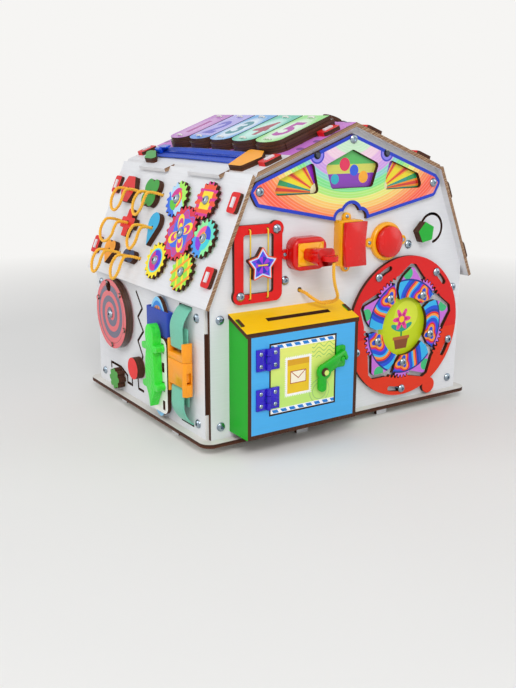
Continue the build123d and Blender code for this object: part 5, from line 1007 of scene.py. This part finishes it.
# ---- zip
made = bmesh.new()
ALONG, ACROSS = 46, 12
SWELL, LEVEL = 1.7, 0.55  # mm that the edges rise, and the share of the width that lies flat
TAPE_TOP, TAPE_BASE = 0.95, 0.05
top, low = {}, {}
for rise, sheet in ((TAPE_TOP, top), (TAPE_BASE, low)):
    for i in range(ALONG + 1):
        u = ZIP_U[0] + (ZIP_U[1] - ZIP_U[0]) * i / ALONG
        for j in range(ACROSS + 1):
            edge = max(0.0, abs(2 * j / ACROSS - 1) - LEVEL) / (1 - LEVEL)
            swell = SWELL * sin(pi * i / ALONG) ** 0.6 * edge
            v = ZIP_V[0] + (ZIP_V[1] - ZIP_V[0]) * j / ACROSS
            sheet[i, j] = made.verts.new(UPPER.point(u, v, swell + rise))
for i in range(ALONG):
    for j in range(ACROSS):
        for sheet in (top, low):
            made.faces.new((sheet[i, j], sheet[i + 1, j], sheet[i + 1, j + 1], sheet[i, j + 1]))
rim = [(i, 0) for i in range(ALONG)] + [(ALONG, j) for j in range(ACROSS)]
rim += [(i, ACROSS) for i in range(ALONG, 0, -1)] + [(0, j) for j in range(ACROSS, 0, -1)]
for one, two in zip(rim, rim[1:] + rim[:1]):
    made.faces.new((top[one], top[two], low[two], low[one]))
zip_blue = woven("royal_blue_zip_tape", "1257e0", "0a3aa8", UPPER)
settle("zip_tape", mesh_of(made, "zip_tape"), zip_blue, "house", replaced="zip_track")
made = bmesh.new()
bmesh.ops.create_cube(made, size=1.0)
bmesh.ops.transform(made, matrix=Matrix.Diagonal((1.2 * MM, 3.4 * MM, 1.3 * MM, 1)), verts=made.verts)
bmesh.ops.bevel(made, geom=list(made.edges), offset=0.3 * MM, segments=1, affect="EDGES")
tooth = mesh_of(made, "zip_tooth")
TOOTH_COUNT, TOOTH_PITCH, TOOTH_SHIFT, TOOTH_RISE = 106, 1.6, 0.8, 2.1
teeth = []
for k in range(TOOTH_COUNT):
    v = sum(ZIP_V) / 2 + (TOOTH_SHIFT if k % 2 else -TOOTH_SHIFT)
    teeth.append((UPPER.point(ZIP_U[0] + 6 + TOOTH_PITCH * k, v, TOOTH_RISE), UPPER.out))
nylon = moulded("blue_nylon_zip_teeth", "0e3fb0", face=UPPER)
set_out("zip_teeth", tooth, teeth, UPPER.right, nylon, "zip_track")
TRACK_FROM = 100  # mm; longer solids are the track, the others its ends
whole = merged("zip_track")
for group in islands(whole):
    spread = [vert.co.y / MM for vert in group]
    if max(spread) - min(spread) > TRACK_FROM:
        bmesh.ops.delete(whole, geom=group, context="VERTS")
end_wood = ply("green_and_yellow_painted_birch_ply", UPPER, "ffa816", [("2f9a34", "u < 0")])
settle("zip_ends", mesh_of(whole, "zip_ends"), end_wood, "house", False, "zip_track")

# ---- camera
VIEW_FOCAL, FRAME_HEIGHT = 873.66, 688  # pixels
VIEW_HEADING, VIEW_DOWN, VIEW_ROLL = 33.339, 14.825, 0.127  # degrees, the first from +Y towards +X
VIEW_FROM = Vector((-0.5608, -0.8168, 0.3110))
turn = Matrix.Identity(4)
for angle, axis in ((-VIEW_HEADING, "Z"), (90 - VIEW_DOWN, "X"), (VIEW_ROLL, "Z")):
    turn @= Matrix.Rotation(radians(angle), 4, axis)
camera = placed("camera", bpy.data.cameras.new("camera"))
camera.data.sensor_width = 36.0
camera.data.lens = VIEW_FOCAL / FRAME_HEIGHT * camera.data.sensor_width
camera.matrix_world = Matrix.Translation(VIEW_FROM) @ turn
SCENE.camera = camera

# ---- floor and light
FLOOR_FADE = (520, 1150)  # mm from the middle, where the floor starts and ends to fade out
BACKGROUND = "f6f5f3"


def background_share(tree):
    """1 for the rays that see the background's plain colour, and 0 for those that light the object."""
    rays = add(tree, "ShaderNodeLightPath").node
    seen = {word.lower(): rays.outputs[f"Is {word} Ray"] for word in ("Camera", "Glossy", "Transmission")}
    return formula(tree, "max(camera, max(glossy, transmission))", seen)


floor_material, tree, shader = new_material("pale_studio_floor")
around = Places(tree, TOP)
around["shown"] = background_share(tree)
mottle = add(tree, "ShaderNodeTexNoise", {"Vector": around.coordinate, "Scale": 3.0, "Detail": 2.0})
mottle = add(tree, "ShaderNodeMix", (mottle, "ecebe8", "f1f0ed"), data_type="RGBA")
fill(tree, shader, {"Base Color": mottle, "Roughness": 0.75})
start, end = FLOOR_FADE
fade = formula(tree, f"min(1, max(0, (r - {start}) / {end - start})) * shown", around)
glow = add(tree, "ShaderNodeEmission", {"Color": BACKGROUND, "Strength": 1.0})
both = add(tree, "ShaderNodeMixShader", (fade, shader.outputs["BSDF"], glow))
fill(tree, tree.nodes["Material Output"], {"Surface": both})
FLOOR_HALF, ground = 9.0, cad_box[0][2]  # m
corners = [(x * FLOOR_HALF, y * FLOOR_HALF, ground) for x, y in ((-1, -1), (1, -1), (1, 1), (-1, 1))]
floor_mesh = bpy.data.meshes.new("floor")
floor_mesh.from_pydata(corners, [], [(0, 1, 2, 3)])
floor_mesh.materials.append(floor_material)
placed("floor", floor_mesh)

world = bpy.data.worlds.new("studio")
SCENE.world = world
world.use_nodes = True
tree = world.node_tree
tree.nodes.clear()
soft = add(tree, "ShaderNodeBackground", {"Color": "f4f6fa", "Strength": 0.5})
plain = add(tree, "ShaderNodeBackground", {"Color": BACKGROUND, "Strength": 1.0})
both = add(tree, "ShaderNodeMixShader", (background_share(tree), soft, plain))
add(tree, "ShaderNodeOutputWorld", {"Surface": both})

LIT = Vector((0.0, 0.0, 0.14))
for name, place, size, power in (
    ("key", (-0.9, -1.5, 1.5), 1.0, 20.0),
    ("fill", (1.5, -1.1, 0.9), 1.4, 5.0),
    ("side", (-1.7, 0.5, 1.0), 1.2, 8.0),
):
    lamp = bpy.data.lights.new(name, "AREA")
    lamp.shape = "DISK"
    lamp.size = size
    lamp.energy = power
    turn = (LIT - Vector(place)).to_track_quat("-Z", "Y").to_matrix().to_4x4()
    placed(name, lamp).matrix_world = Matrix.Translation(place) @ turn
SCENE.view_settings.view_transform = "Standard"
